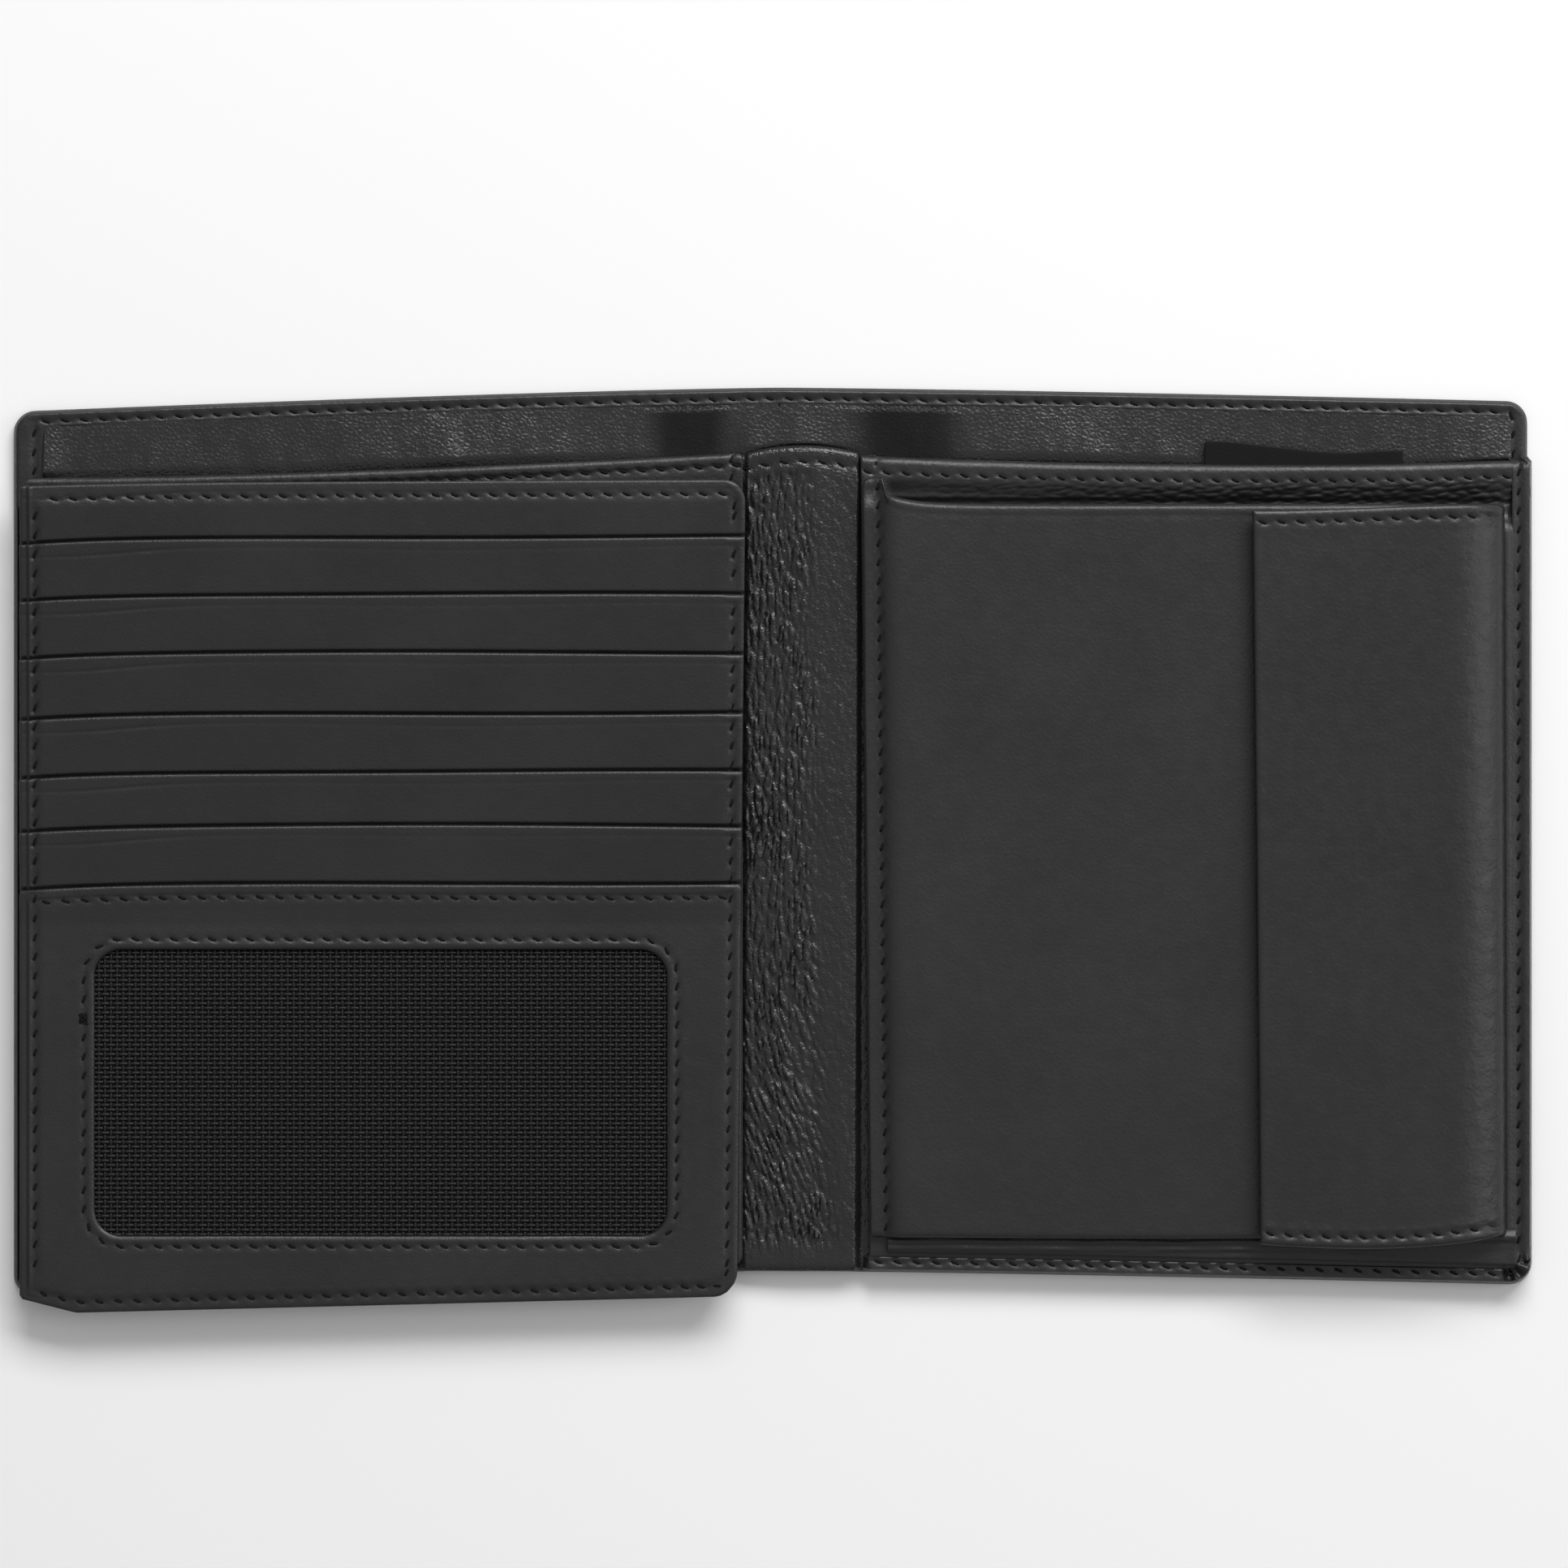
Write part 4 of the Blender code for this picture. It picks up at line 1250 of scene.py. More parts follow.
FLAP_BEND_START = 89.0
FLAP_BEND_END = 96.2
FLAP_ROOT_Z = 3.3
FLAP_TOP, FLAP_BOTTOM = 42.35, -55.0
FLAP_HALF = 0.42  # half its thickness
FLAP_SPAN = 98.0  # its height, for spacing the grid
FLAP_SEAM_END = 94.4
STUD_X, STUD_Y = 76.0, -2.5  # the leather is worn and dished over the press stud


def flap_top(x):
    return FLAP_TOP + 0.8 * ramp(x, 63.0, 95.0)


def flap_bottom(x):
    along = np.clip((x - 62.6) / 33.0, 0, 1)
    return FLAP_BOTTOM - 0.85 * np.sin(along * math.pi * 0.78) ** 0.7 + 1.5 * along**3


def flap_surface():
    """The flap lies flat from its free edge, then bends down beside the pocket's mouth to its sewn root."""
    low = box("flap_outer")[0]
    flat_z = layer("flap_outer")[0]
    radius_x, radius_z = FLAP_BEND_END - FLAP_BEND_START, flat_z - FLAP_ROOT_Z
    bend_length = 0.5 * math.pi * math.sqrt((radius_x**2 + radius_z**2) / 2)
    flat_length = FLAP_BEND_START - low.x
    edge = 0.5
    along = spread(0.0, flat_length + bend_length, FINE, edge)
    share = spread(0.0, FLAP_SPAN, 0.5, edge, (FLAP_SEAM, FLAP_SPAN - FLAP_SEAM)) / FLAP_SPAN
    turn = np.clip((along - flat_length) / bend_length, 0.0, 1.0) * math.pi / 2
    on_bend = along > flat_length
    x_line = np.where(on_bend, FLAP_BEND_START + radius_x * np.sin(turn), low.x + along)
    z_line = np.where(on_bend, FLAP_ROOT_Z + radius_z * np.cos(turn), flat_z)
    nx = np.where(on_bend, np.sin(turn) * radius_z, 0.0)
    nz = np.where(on_bend, np.cos(turn) * radius_x, 1.0)
    length = np.hypot(nx, nz)

    def columns(line):
        return np.repeat(line[:, None], len(share), axis=1)

    x, z = columns(x_line), columns(z_line)
    low_y, high_y = columns(flap_bottom(x_line)), columns(flap_top(x_line))
    y = low_y + (high_y - low_y) * share[None, :]
    inset = np.minimum(columns(along), np.minimum(y - low_y, high_y - y))
    normal = (columns(nx / length), columns(nz / length))
    return Surface(x, y, z, np.maximum(inset, 0.0), FLAP_HALF, edge, normal=normal)


def flap_relief(x, y, start_x):
    """Grain that is coarser over the stud and on the bend, the dish over the stud, and a plump edge."""
    worn = bump(x, STUD_X, 9.0) * bump(y, STUD_Y, 9.0)
    bend_zone = bump(x, 93.5, 4.5)
    crinkle = cell_ridges(x / 1.5 + 200, y / 2.2 + 200, 53) - 0.6
    pebbles = cell_ridges(x / 0.8 + 200, y / 0.9 + 200, 54) - 0.6
    grain = crinkle * (0.004 + 0.045 * bend_zone + 0.035 * worn) + pebbles * 0.028 * (bend_zone + worn)
    dish = -0.10 * bump(np.hypot(x - STUD_X, y - STUD_Y), 0.0, 6.5)
    from_edge = np.minimum(np.minimum(flap_top(x) - y, y - flap_bottom(x)), x - start_x + 0.2)
    return grain + dish + 0.04 * bump(from_edge, 0.8, 0.5)


def build_flap():
    low = box("flap_outer")[0]
    surface = flap_surface()
    surface.raise_top(flap_relief(surface.x, surface.y, low.x))
    waves = ripple(surface.x, surface.y, 0.14, (14, 14), seed=55, shift=10)
    surface.raise_both(waves * ramp(surface.x, 90.0, 80.0))
    seam_span = (low.x + 1.3, FLAP_SEAM_END)
    top_stitches = stitched(along_curve(*seam_span, lambda x: flap_top(x) - FLAP_SEAM))
    bottom_stitches = stitched(along_curve(*seam_span, lambda x: flap_bottom(x) + FLAP_SEAM))
    surface.lean(lean_right)
    seats = surface.sew(shifted(top_stitches, lean_right))
    seats += surface.sew(shifted(bottom_stitches, lean_right), puff_height=LOOSE_PUFF)
    piece = add_surface("coin_flap_leather", surface, FLAP_LOOK)
    start, end = (95.3, 0, 6.6), (96.3, 0, 4.0)
    bend(piece, "flap_leather", ("coin_flap", "right_half"), start, end, "flap_outer", "flap_root")
    add_threads("coin_flap_stitches", seats, "coin_flap")


def build_flap_lining():
    low, high = box("flap_lining")
    edges = (level(low.y + float(droop(high.x))), level(high.y + float(droop(low.x))))
    lining = sheet((low.x, high.x - 3.0), edges, *layer("flap_lining"), (MEDIUM, MEDIUM), edge=0.25)
    lining.roughen(0.04, size=(4, 4), seed=59, shift=20)
    lining.lean(lean_right)
    lay(lining, "flap_lining", INNER_LOOK, "coin_flap", "flap_leather", "flap_lining")


# ---- press stud ----

SNAP_HOLE = 0.15  # radius of the fine hole along the stud and the rivet
STUD_POST = 1.35
RIVET_POST = 0.75
FLANGE = 0.22
SOCKET_HOLE = 1.7


def lathe(node, profile, segments=40):
    """A round metal piece at a node's place, turned from (radius, height) points."""
    low, high = box(node)
    centre_x, centre_y = (low.x + high.x) / 2, (low.y + high.y) / 2
    rings = len(profile)
    points, faces = [], []
    for k in range(segments):
        turn = 2 * math.pi * k / segments
        points += [(centre_x + r * math.cos(turn), centre_y + r * math.sin(turn), z) for r, z in profile]
        j = (k + 1) % segments
        for i in range(rings):
            m = (i + 1) % rings
            faces.append((k * rings + i, j * rings + i, j * rings + m, k * rings + m))
    made = add_mesh(node + "_metal", points, faces, METAL)
    made.data.set_sharp_from_angle(angle=math.radians(40))
    return made


def build_stud(node, post):
    """A flange that carries a waisted post with a rounded top."""
    low, high = box(node)
    radius = (high.x - low.x) / 2
    flange_top = low.z + FLANGE
    flange = [(SNAP_HOLE, low.z), (radius - 0.15, low.z), (radius, low.z + 0.08), (radius - 0.3, flange_top)]
    waist = [(post + 0.5, flange_top + 0.05), (post * 0.86, flange_top + 0.2), (post, high.z - 0.3)]
    head = [(post * 0.92, high.z - 0.1), (post * 0.6, high.z), (SNAP_HOLE, high.z)]
    settle(lathe(node, flange + waist + head), "right_half", "snap_metal", node)


def build_socket():
    """The ring in the flap that snaps over the stud's post."""
    low, high = box("snap_socket")
    radius = (high.x - low.x) / 2
    lip = [(SOCKET_HOLE, low.z + 0.1), (1.9, low.z), (2.5, low.z - 0.02)]
    groove = [(2.9, low.z + 0.12), (3.3, low.z + 0.1)]
    back = [(radius, low.z + 0.25), (radius, high.z), (SOCKET_HOLE, high.z)]
    settle(lathe("snap_socket", lip + groove + back), "coin_flap", "snap_metal", "snap_socket")


# ---- card leaf ----

LEAF_LOW, LEAF_HIGH = box("leaf_back")
LEAF_LEFT, LEAF_RIGHT, LEAF_TOP = LEAF_LOW.x, LEAF_HIGH.x, LEAF_HIGH.y
LEAF_WIDTH = LEAF_RIGHT - LEAF_LEFT
LEAF_TOP_DROOP = 0.45
LEAF_TOP_DIP = 0.4
LEAF_BOTTOM = -62.1
LEAF_DROOP = 2.4
CHAMFER_RUN = 7.5
CHAMFER_RISE = 2.1
LEAF_CORNER = 3.0
LEAF_LOW_CORNER = 3.3
LEAF_EDGE = 0.35
SLOT_COUNT = 6
POCKET_LEATHER = 0.42
POCKET_RISE = 0.175  # height of a strip's middle over its node's underside, at its lower edge
FOLD_CREASE = 1.35
EDGE_WAVER = 0.1
PINCH_DEPTH = 0.30
PINCH_REACH = 3.6
LEAF_SIDE_SEAMS = (LEAF_LEFT + LEAF_LEFT_SEAM, LEAF_RIGHT - LEAF_SEAM)


def leaf_top(x):
    along = (LEAF_RIGHT - x) / LEAF_WIDTH
    return LEAF_TOP - LEAF_TOP_DROOP * along - LEAF_TOP_DIP * along**6


def leaf_bottom(x):
    chamfer = np.clip((LEAF_LEFT + CHAMFER_RUN - x) / CHAMFER_RUN, 0, 1)
    return LEAF_BOTTOM - LEAF_DROOP * (LEAF_RIGHT - x) / LEAF_WIDTH + CHAMFER_RISE * chamfer


def slot_edge(height, number):
    """A slot's top edge: it dips at the sewn left end and wavers slightly along its length."""
    def edge(x):
        along = (x - LEAF_LEFT) / LEAF_WIDTH
        dip = 0.95 * np.exp(-np.clip(along, 0, 1) / 0.13)
        waver = 0.22 * np.sin(along * math.pi * 1.7 + number * 1.9) * along
        return height - dip + waver
    return edge


def pinch(x, y):
    """All the leaf's layers are pressed together where they are sewn round its edge."""
    sides = np.minimum(x - LEAF_LEFT, LEAF_RIGHT - x)
    ends = np.minimum(leaf_top(x) - y, y - leaf_bottom(x))
    return ramp(np.minimum(sides, ends), PINCH_REACH, 0.0)


def leaf_border(surface):
    """The pressed edge of the leaf: a ridge down the left side and a plump rounded rim at the right."""
    ridge = bumps(surface.x - LEAF_LEFT, ((0.16, 1.35, 0.22), (-0.08, 0.9, 0.25)))
    rim = 0.08 * bump(surface.inset, 0.6, 0.35) * ramp(surface.x, LEAF_RIGHT - 3.0, LEAF_RIGHT - 2.0)
    return ridge + rim


def side_stitches(lower, upper):
    """Stitches down the leaf's two long sides between two heights, on one common row of places."""
    start = LEAF_TOP - LEAF_CORNER - 0.7 * STITCH_PITCH
    rows = int((LEAF_TOP - LEAF_BOTTOM) / STITCH_PITCH)
    places = [(x, start - k * STITCH_PITCH) for x in LEAF_SIDE_SEAMS for k in range(rows)]
    return [(x, y, math.pi / 2) for x, y in places if float(lower(x)) + 0.5 < y < float(upper(x)) - 0.3]


def top_seam():
    """The seam along the leaf's top edge and round its right corner."""
    turn = LEAF_CORNER - LEAF_SEAM
    corner_x = LEAF_RIGHT - LEAF_CORNER
    path = along_curve(LEAF_LEFT + 4.6, corner_x, lambda x: leaf_top(x) - LEAF_TOP_SEAM)
    centre = (corner_x, float(leaf_top(corner_x)) - LEAF_TOP_SEAM - turn)
    return stitched(path + arc(centre, turn, 1.0, 0.0)[1:])


def bottom_seam():
    """The seam along the leaf's bottom edge and round its right corner."""
    turn = LEAF_LOW_CORNER - LEAF_SEAM
    corner_x = LEAF_RIGHT - LEAF_LOW_CORNER
    path = along_curve(LEAF_LEFT + 3.2, corner_x, lambda x: leaf_bottom(x) + LEAF_SEAM)
    centre = (corner_x, float(leaf_bottom(corner_x)) + LEAF_LOW_CORNER)
    return stitched(path + arc(centre, turn, -1.0, 0.0)[1:])


def leaf_strip(node, upper, next_edge, seam=(), corners=(0, 0, 0, 0)):
    """One shingled strip of pocket leather: a folded top edge, the fold's crease, and sewn sides."""
    low, high = box(node)
    slope = (high.z - low.z - 2 * POCKET_RISE) / (high.y - low.y)

    def middle(x, y):
        return low.z + POCKET_RISE + slope * (y - low.y) - PINCH_DEPTH * pinch(x, y)

    surface = sheet(
        (LEAF_LEFT, LEAF_RIGHT),
        (flat(low.y), upper),
        middle,
        POCKET_LEATHER,
        (FINE, 0.36),
        corners,
        edge=LEAF_EDGE,
        seams=((LEAF_LEFT + 1.1, *LEAF_SIDE_SEAMS), (-0.3, -LEAF_TOP_SEAM, float(next_edge(0.0)) - low.y)),
    )
    x, y = surface.x, surface.y
    below = upper(x) - y
    surface.curl(below, reach=0.45, drop=0.15)
    surface.raise_both(-0.30 * ramp(y, next_edge(x) + 0.55, next_edge(x)))
    crease_depth = 0.03 + 0.05 * bump(x, LEAF_LEFT + 14.0, 10.0)
    crease_place = FOLD_CREASE + 0.15 * np.sin(x / 9.0) + 0.5 * bump(x, LEAF_LEFT + 8.0, 9.0)
    sag = ripple(x, y, 0.07, (18, 7), seed=61, shift=(40, 40 + low.y))
    surface.raise_top(sag - crease_depth * bump(below, crease_place, 0.2) + leaf_border(surface))
    surface.lean(lean_leaf)
    seats = surface.sew(shifted([*seam, *side_stitches(next_edge, upper)], lean_leaf))
    lay(surface, node, POCKET_LOOK, "card_leaf", "pocket_leather", node)
    return seats


def build_pockets():
    pockets = [f"card_pocket_{number}" for number in range(1, SLOT_COUNT + 1)]
    heights = [box(node)[1].y - EDGE_WAVER for node in (*pockets, "id_frame")]
    edges = [slot_edge(height, number) for number, height in enumerate(heights, start=1)]
    header_corners = (0, 0, LEAF_CORNER, 0.8)
    seats = leaf_strip("leaf_header", leaf_top, edges[0], top_seam(), header_corners)
    for node, upper, next_edge in zip(pockets, edges, edges[1:]):
        seats += leaf_strip(node, upper, next_edge)
    add_threads("card_pocket_stitches", seats, "card_leaf")


def build_leaf_back():
    """The leaf's back leather, seen when the leaf is flipped out."""
    middle_z, thickness = layer("leaf_back")
    surface = sheet(
        (LEAF_LEFT, LEAF_RIGHT),
        (leaf_bottom, leaf_top),
        lambda x, y: middle_z + 0.12 * pinch(x, y),
        thickness,
        (FINE, 0.65),
        (0.8, LEAF_LOW_CORNER, LEAF_CORNER, 0.8),
        seams=(LEAF_SIDE_SEAMS, (LEAF_SEAM, -LEAF_TOP_SEAM)),
    )
    surface.lean(lean_leaf)
    seams = top_seam() + bottom_seam() + side_stitches(lambda x: leaf_bottom(x) + LEAF_LOW_CORNER, leaf_top)
    seats = surface.sew(shifted(seams, lean_leaf), upper=False)
    lay(surface, "leaf_back", COVER_LOOK, "card_leaf", "pocket_leather", "leaf_back", seats, flip=True)


def build_leaf_backing():
    """The cloth inside the leaf, which the pockets are sewn to."""
    low, high = box("leaf_backing")
    margin = 2.6
    edges = (lambda x: leaf_bottom(x) + margin, lambda x: leaf_top(x) - margin)
    cloth = sheet((low.x + 1.0, high.x - 2.0), edges, *layer("leaf_backing"), (COARSE, COARSE), edge=0.2)
    cloth.raise_both(0.03)
    lay(cloth, "leaf_backing", CLOTH, "card_leaf", "backing_cloth", "leaf_backing")


# ---- window panel ----

WINDOW_MARGIN = Vector((2.3, 2.3))  # how far the net reaches beyond the window
WINDOW_RADIUS = 3.6
NET_LOW, NET_HIGH = box("id_window_net")
WINDOW_LOW = NET_LOW.xy + WINDOW_MARGIN
WINDOW_HIGH = NET_HIGH.xy - WINDOW_MARGIN
WINDOW_CENTRE = (WINDOW_LOW + WINDOW_HIGH) / 2
WINDOW_REACH = (WINDOW_HIGH - WINDOW_LOW) / 2
FRAME_RISE = 0.095  # the panel climbs this steeply over the pocket behind its top edge
FRAME_FLAT = 5.3  # and starts to climb at this distance below its top edge
KNOT_PLACE = (-92.7, -24.6)
KNOT_HEIGHT = 0.16
# A knot's turns of thread: the place of each beside the last stitch, and its direction
KNOT_TURNS = (
    (-0.15, 0.4, 0.4),
    (0.2, 0.05, 2.2),
    (-0.2, -0.3, 1.1),
    (0.1, -0.55, 2.9),
    (-0.35, 0.1, 1.6),
    (0.0, 0.2, 2.9),
)


def window_outline(grow=0.0, corner_count=14, side_step=FINE):
    """Points round the window, anticlockwise from its lower left corner, grown outwards by a distance."""
    reach = WINDOW_REACH - Vector((WINDOW_RADIUS, WINDOW_RADIUS))
    centres = [(WINDOW_CENTRE.x + sx * reach.x, WINDOW_CENTRE.y + sy * reach.y) for sx, sy in CORNER_SIGNS]
    points = []
    for quarter, centre in enumerate(centres):
        corner = arc(centre, WINDOW_RADIUS + grow, 2.0 + quarter, 3.0 + quarter, corner_count)
        next_centre = centres[(quarter + 1) % 4]
        following = arc(next_centre, WINDOW_RADIUS + grow, 3.0 + quarter, 3.0 + quarter, 1)[0]
        steps = max(1, round(math.dist(corner[-1], following) / side_step))
        points += corner
        points += [tuple(Vector(corner[-1]).lerp(Vector(following), k / steps)) for k in range(1, steps)]
    return points


def panel_outline(points, upper, lower):
    """For each point round the window, its partner on the panel's outline.

    Rays from the window's middle meet the outline, so the grid fans out evenly into the panel's corners.
    """
    outline = []
    for x, y in points:
        across, along = (x - WINDOW_CENTRE.x) / WINDOW_REACH.x, (y - WINDOW_CENTRE.y) / WINDOW_REACH.y
        if abs(across) >= abs(along):
            side_x = LEAF_RIGHT if across > 0 else LEAF_LEFT
            share = along / abs(across)
            top_y, bottom_y = float(upper(side_x)), float(lower(side_x))
            outline.append((side_x, bottom_y + (top_y - bottom_y) * (share + 1) / 2))
        else:
            share = across / abs(along)
            side_x = LEAF_LEFT + LEAF_WIDTH * (share + 1) / 2
            outline.append((side_x, float((upper if along > 0 else lower)(side_x))))
    return outline


def window_distance(x, y):
    """Distance outside the window's edge."""
    dx = np.abs(x - WINDOW_CENTRE.x) - WINDOW_REACH.x + WINDOW_RADIUS
    dy = np.abs(y - WINDOW_CENTRE.y) - WINDOW_REACH.y + WINDOW_RADIUS
    outside = np.hypot(np.maximum(dx, 0), np.maximum(dy, 0))
    return outside + np.minimum(np.maximum(dx, dy), 0) - WINDOW_RADIUS


def frame_surface(upper, lower):
    """The window panel as a ring. Each row of its grid runs from the window's edge to the outline."""
    low, high = box("id_frame")
    inner = np.array(window_outline())
    outer = np.array(panel_outline(inner, upper, lower))
    width = 10.0  # of the ring, for spacing the grid
    share = spread(0.0, width, 0.3, 0.3, (WINDOW_SEAM, 8.4)) / width
    x = (inner[:, :1] + (outer - inner)[:, :1] * share[None, :])[::-1]
    y = (inner[:, 1:] + (outer - inner)[:, 1:] * share[None, :])[::-1]
    sides = np.minimum(x - LEAF_LEFT, LEAF_RIGHT - x)
    ends = np.minimum(upper(x) - y, y - lower(x))
    inset = np.maximum(np.minimum(np.minimum(sides, ends), window_distance(x, y)), 0.0)
    climb = FRAME_RISE * np.maximum(0.0, y - high.y + FRAME_FLAT)
    z = low.z + POCKET_RISE + climb - PINCH_DEPTH * pinch(x, y)
    return Surface(x, y, z, inset, POCKET_LEATHER / 2, LEAF_EDGE, ring=True)


def build_id_frame():
    """The window panel: one ring of leather, sewn round its outside, along its top and round the window."""
    upper = slot_edge(box("id_frame")[1].y - EDGE_WAVER, SLOT_COUNT + 1)

    def lower(x):
        return leaf_bottom(x) + corner_cut(LEAF_RIGHT - np.asarray(x, float), LEAF_LOW_CORNER)

    surface = frame_surface(upper, lower)
    x, y = surface.x, surface.y
    below, from_window = upper(x) - y, window_distance(x, y)
    surface.curl(below, reach=0.45, drop=0.15)
    surface.curl(from_window, reach=0.8, drop=0.14)
    turned_lip = 0.05 * bump(from_window, 0.75, 0.4)
    crease = -0.06 * bump(below, FOLD_CREASE, 0.2)
    soft = ripple(x, y, 0.08, (9, 9), seed=67, shift=40)
    surface.raise_top(turned_lip + crease + soft + leaf_border(surface))
    surface.lean(lean_leaf)
    seams = stitched(along_curve(LEAF_LEFT + 3.6, LEAF_RIGHT - 2.6, lambda v: upper(v) - 1.75))
    seams += side_stitches(lambda v: leaf_bottom(v) + LEAF_LOW_CORNER, upper)
    window_seam = stitched(window_outline(WINDOW_SEAM), closed=True)
    seats = surface.sew(shifted(seams, lean_leaf) + window_seam)
    seats += surface.sew(shifted(bottom_seam(), lean_leaf), puff_height=LOOSE_PUFF)
    lay(surface, "id_frame", POCKET_LOOK, "card_leaf", "pocket_leather", "id_frame", seats)
    build_knot(seats)


def build_knot(seats):
    """The seam round the window ends in a small knot beside its left edge."""
    x, y, z = min(seats, key=lambda seat: math.dist(seat[:2], KNOT_PLACE))[:3]
    knot = [(x + dx, y + dy, z + KNOT_HEIGHT, turn, 0.0) for dx, dy, turn in KNOT_TURNS]
    add_threads("id_window_knot", knot, "card_leaf")


WARP_PITCH = 0.81
WEFT_PITCH = 0.615
WARP_RADIUS = 0.23
WEFT_RADIUS = 0.27
NET_WAVE = 0.13
NET_FLATNESS = 0.7


def woven(name, along_axis, lines, crossings, phase_shift, middle_z, radius):
    """Parallel threads that pass over and under the crossing threads in turn, as four-sided tubes."""
    points, faces = [], []
    pitch = crossings[1] - crossings[0]
    stops = np.arange(2 * len(crossings) + 1) * pitch / 2 + crossings[0] - pitch / 2
    flat_radius = radius * NET_FLATNESS
    section = ((radius, 0.0), (0.0, flat_radius), (-radius, 0.0), (0.0, -flat_radius))
    for number, line in enumerate(lines):
        phase = (number + phase_shift) % 2
        heights = middle_z + NET_WAVE * np.cos(math.pi * ((stops - crossings[0]) / pitch + phase))
        first = len(points)
        for stop, height in zip(stops, heights):
            for across, up in section:
                place = (stop, line + across) if along_axis == 0 else (line - across, stop)
                points.append((*place, height + up))
        for k in range(len(stops) - 1):
            for side in range(4):
                a, b = first + 4 * k + side, first + 4 * k + (side + 1) % 4
                faces.append((a, b, b + 4, a + 4))
        last = first + 4 * (len(stops) - 1)
        faces.append((first + 3, first + 2, first + 1, first))
        faces.append((last, last + 1, last + 2, last + 3))
    return add_mesh(name, points, faces, NET)


def build_net():
    """The window's net: a plain weave of real threads."""
    hidden = 1.2
    warps = np.arange(NET_LOW.x + hidden, NET_HIGH.x - hidden, WARP_PITCH)
    wefts = np.arange(NET_LOW.y + hidden, NET_HIGH.y - hidden, WEFT_PITCH)
    z = layer("id_window_net")[0] + 0.1
    upright = woven("id_net_upright_threads", 1, warps, wefts, 0, z, WARP_RADIUS)
    across = woven("id_net_level_threads", 0, wefts, warps, 1, z, WEFT_RADIUS)
    for piece in (upright, across):
        settle(piece, "card_leaf", "window_net", "id_window_net")


HINGE_LOW, HINGE_HIGH = 1.5, 3.75  # heights between which the leaf's hinge band reaches
HINGE_BOTTOM, HINGE_TOP = -60.0, 43.0
HINGE_HALF = 0.13  # half its thickness


def build_leaf_hinge():
    """The band of leather at the leaf's sewn edge, which joins it to the cover's left rim."""
    hinge_x = JOINTS["flip_card_leaf"]["pos_m"][0] / MM - 0.15
    along = spread(HINGE_LOW, HINGE_HIGH, 0.2, 0.2)
    y, z = np.meshgrid(np.linspace(HINGE_BOTTOM, HINGE_TOP, 220), along)
    x = hinge_x + ripple(y, z, 0.04, (4, 0.5), seed=71, shift=(40, 9))
    ends = np.minimum(y - HINGE_BOTTOM, HINGE_TOP - y)
    inset = np.minimum(np.minimum(z - HINGE_LOW, HINGE_HIGH - z), ends)
    outward = (-np.ones(z.shape), np.zeros(z.shape))
    surface = Surface(x, y, z, np.maximum(inset, 0), HINGE_HALF, 0.2, normal=outward)
    piece = add_surface("leaf_hinge_leather", surface, COVER_LOOK)
    bend(piece, "cover_leather", ("left_half", "card_leaf"), (hinge_x, 0, 2.2), (hinge_x, 0, 3.7))


# ---- stage ----

VIEW_WIDTH = 208.9  # width of the camera's view at the wallet
VIEW_CENTRE = (0.6, 6.05, 4.0)
CAMERA_HEIGHT = 900.0
FLOOR_REACH = 3000.0
FLOOR_GAP = 0.4
HORIZON_LIGHT, ZENITH_LIGHT = 0.12, 0.50


def build_floor():
    n = Nodes("floor_look")
    n.feed("Base Color", n.mixed(n.noise(0.002), (0.88, 0.88, 0.88), (0.92, 0.92, 0.92)))
    n.set(Roughness=0.8)
    corners = [(sx * FLOOR_REACH, sy * FLOOR_REACH, -FLOOR_GAP) for sx, sy in CORNER_SIGNS]
    add_mesh("floor", corners, [(0, 1, 2, 3)], n.material)


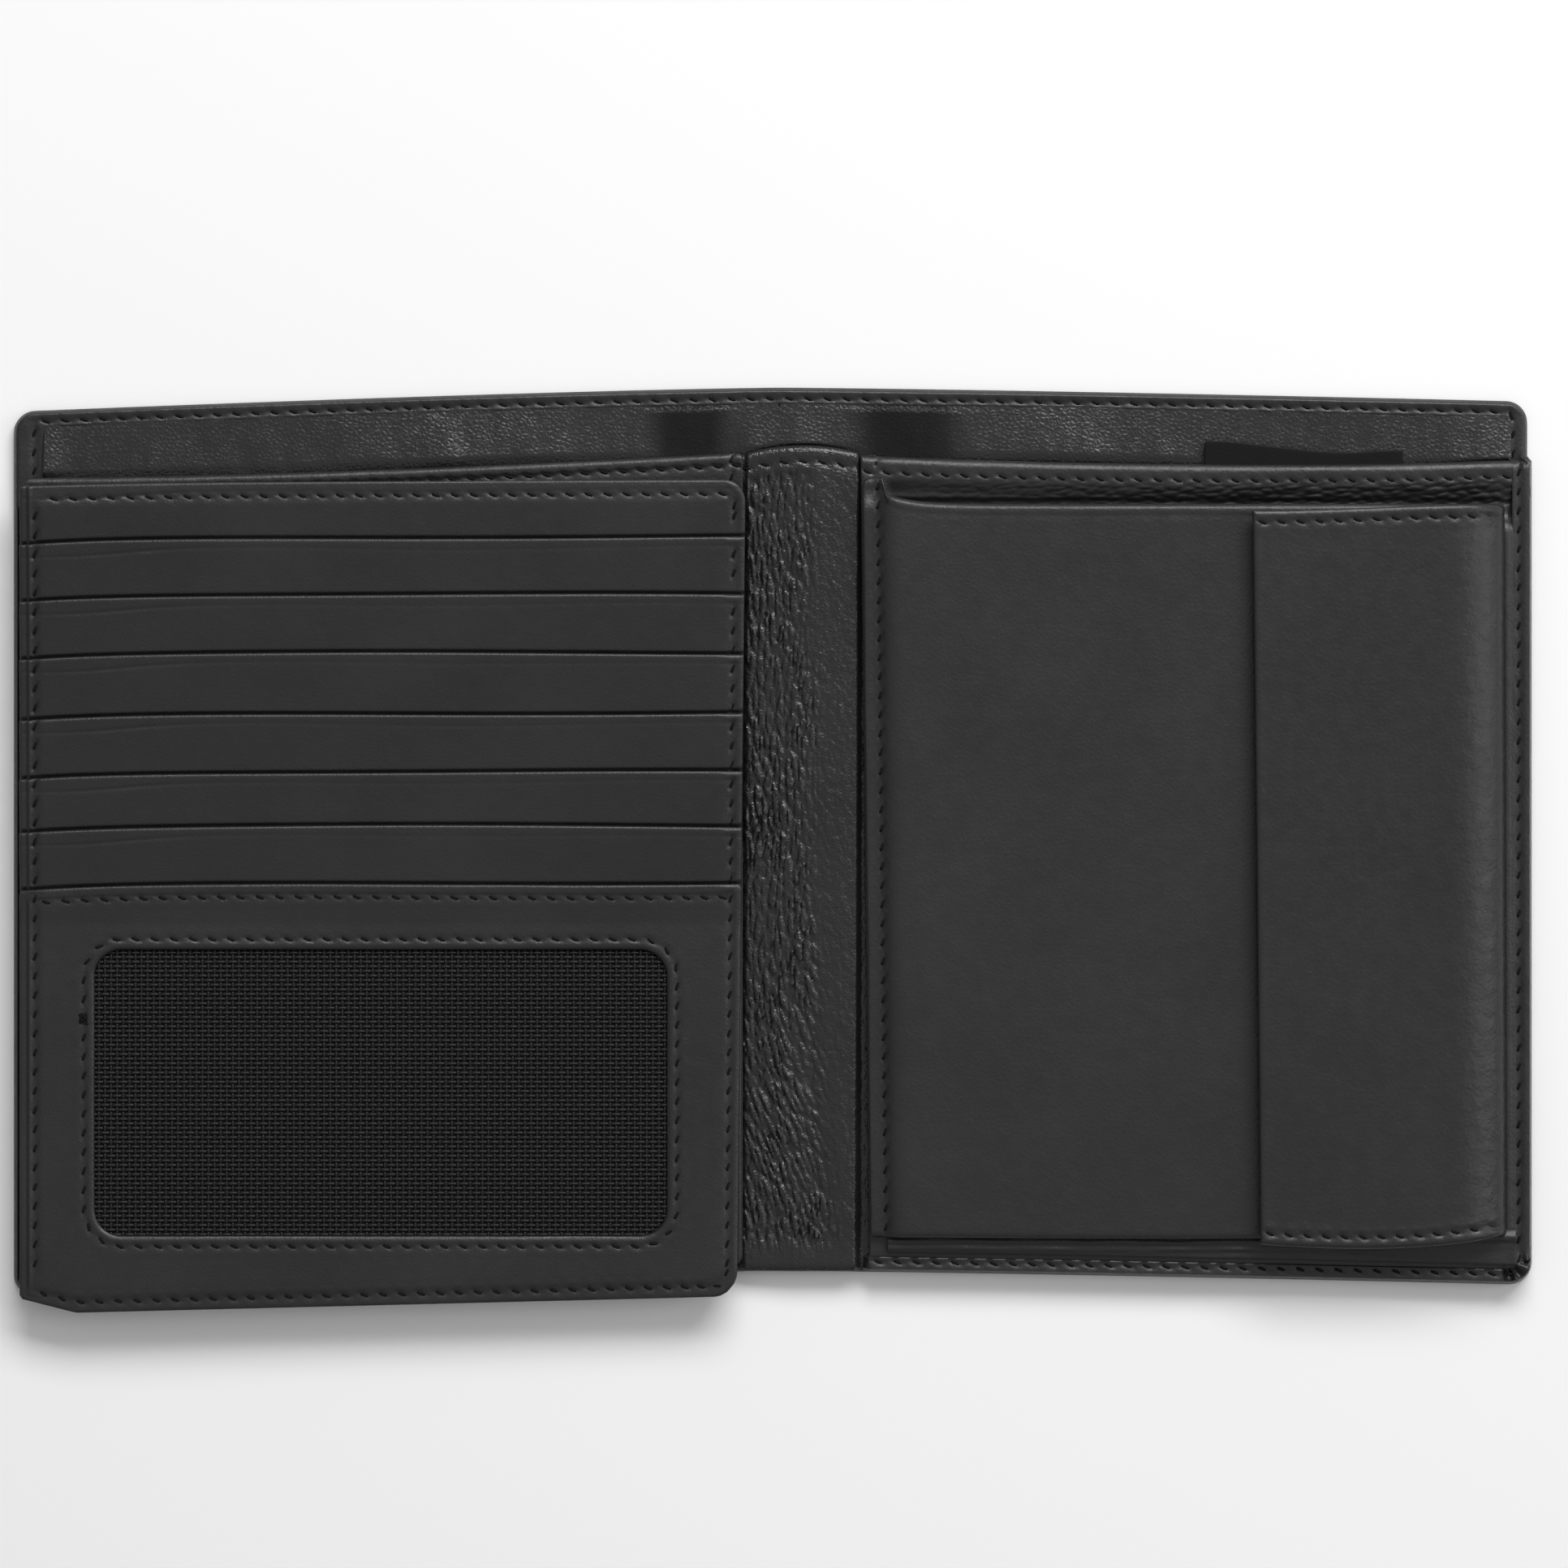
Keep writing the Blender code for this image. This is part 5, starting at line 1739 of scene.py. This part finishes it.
def area_light(name, place, size, power):
    """A soft light panel that faces the wallet. Places and sizes are in metres."""
    data = bpy.data.lights.new(name, "AREA")
    data.shape = "RECTANGLE"
    data.size, data.size_y = size
    data.energy = power
    light = bpy.data.objects.new(name, data)
    light.location = place
    light.rotation_euler = Vector(place).to_track_quat("Z", "Y").to_euler()
    bpy.context.scene.collection.objects.link(light)


def build_lights():
    """A sky, bright overhead and dark at the horizon, a key light behind and a softer one at the right."""
    world = bpy.data.worlds.new("studio")
    world.use_nodes = True
    tree = world.node_tree
    background = tree.nodes["Background"]
    direction = tree.nodes.new("ShaderNodeTexCoord")
    parts = tree.nodes.new("ShaderNodeSeparateXYZ")
    shade = tree.nodes.new("ShaderNodeMapRange")
    shade.inputs["From Min"].default_value = 0.1
    shade.inputs["From Max"].default_value = 1.0
    shade.inputs["To Min"].default_value = HORIZON_LIGHT
    shade.inputs["To Max"].default_value = ZENITH_LIGHT
    background.inputs["Color"].default_value = (1.0, 1.0, 1.0, 1.0)
    tree.links.new(direction.outputs["Generated"], parts.inputs[0])
    tree.links.new(parts.outputs["Z"], shade.inputs["Value"])
    tree.links.new(shade.outputs["Result"], background.inputs["Strength"])
    bpy.context.scene.world = world
    area_light("key_light", (0.30, 0.95, 0.85), (1.1, 0.5), 17.0)
    area_light("side_light", (1.0, 0.1, 0.65), (0.4, 0.9), 2.5)


def build_camera():
    data = bpy.data.cameras.new("camera")
    data.lens = data.sensor_width * (CAMERA_HEIGHT - VIEW_CENTRE[2]) / VIEW_WIDTH
    data.clip_start = 0.01
    camera = bpy.data.objects.new("camera", data)
    camera.location = Vector((*VIEW_CENTRE[:2], CAMERA_HEIGHT)) * MM
    bpy.context.scene.collection.objects.link(camera)
    bpy.context.scene.camera = camera
    bpy.context.scene.view_settings.view_transform = "Standard"


build_cover()
build_lining()
build_note_tab()
build_spine_strip()
build_left_panel()
build_slip_pocket()
build_right_panel()
build_coin_back()
build_coin_front()
build_top_gusset()
build_bottom_gusset()
build_flap()
build_flap_lining()
build_stud("snap_stud", STUD_POST)
build_stud("snap_rivet", RIVET_POST)
build_socket()
build_pockets()
build_leaf_back()
build_leaf_backing()
build_id_frame()
build_net()
build_leaf_hinge()
build_floor()
build_lights()
build_camera()
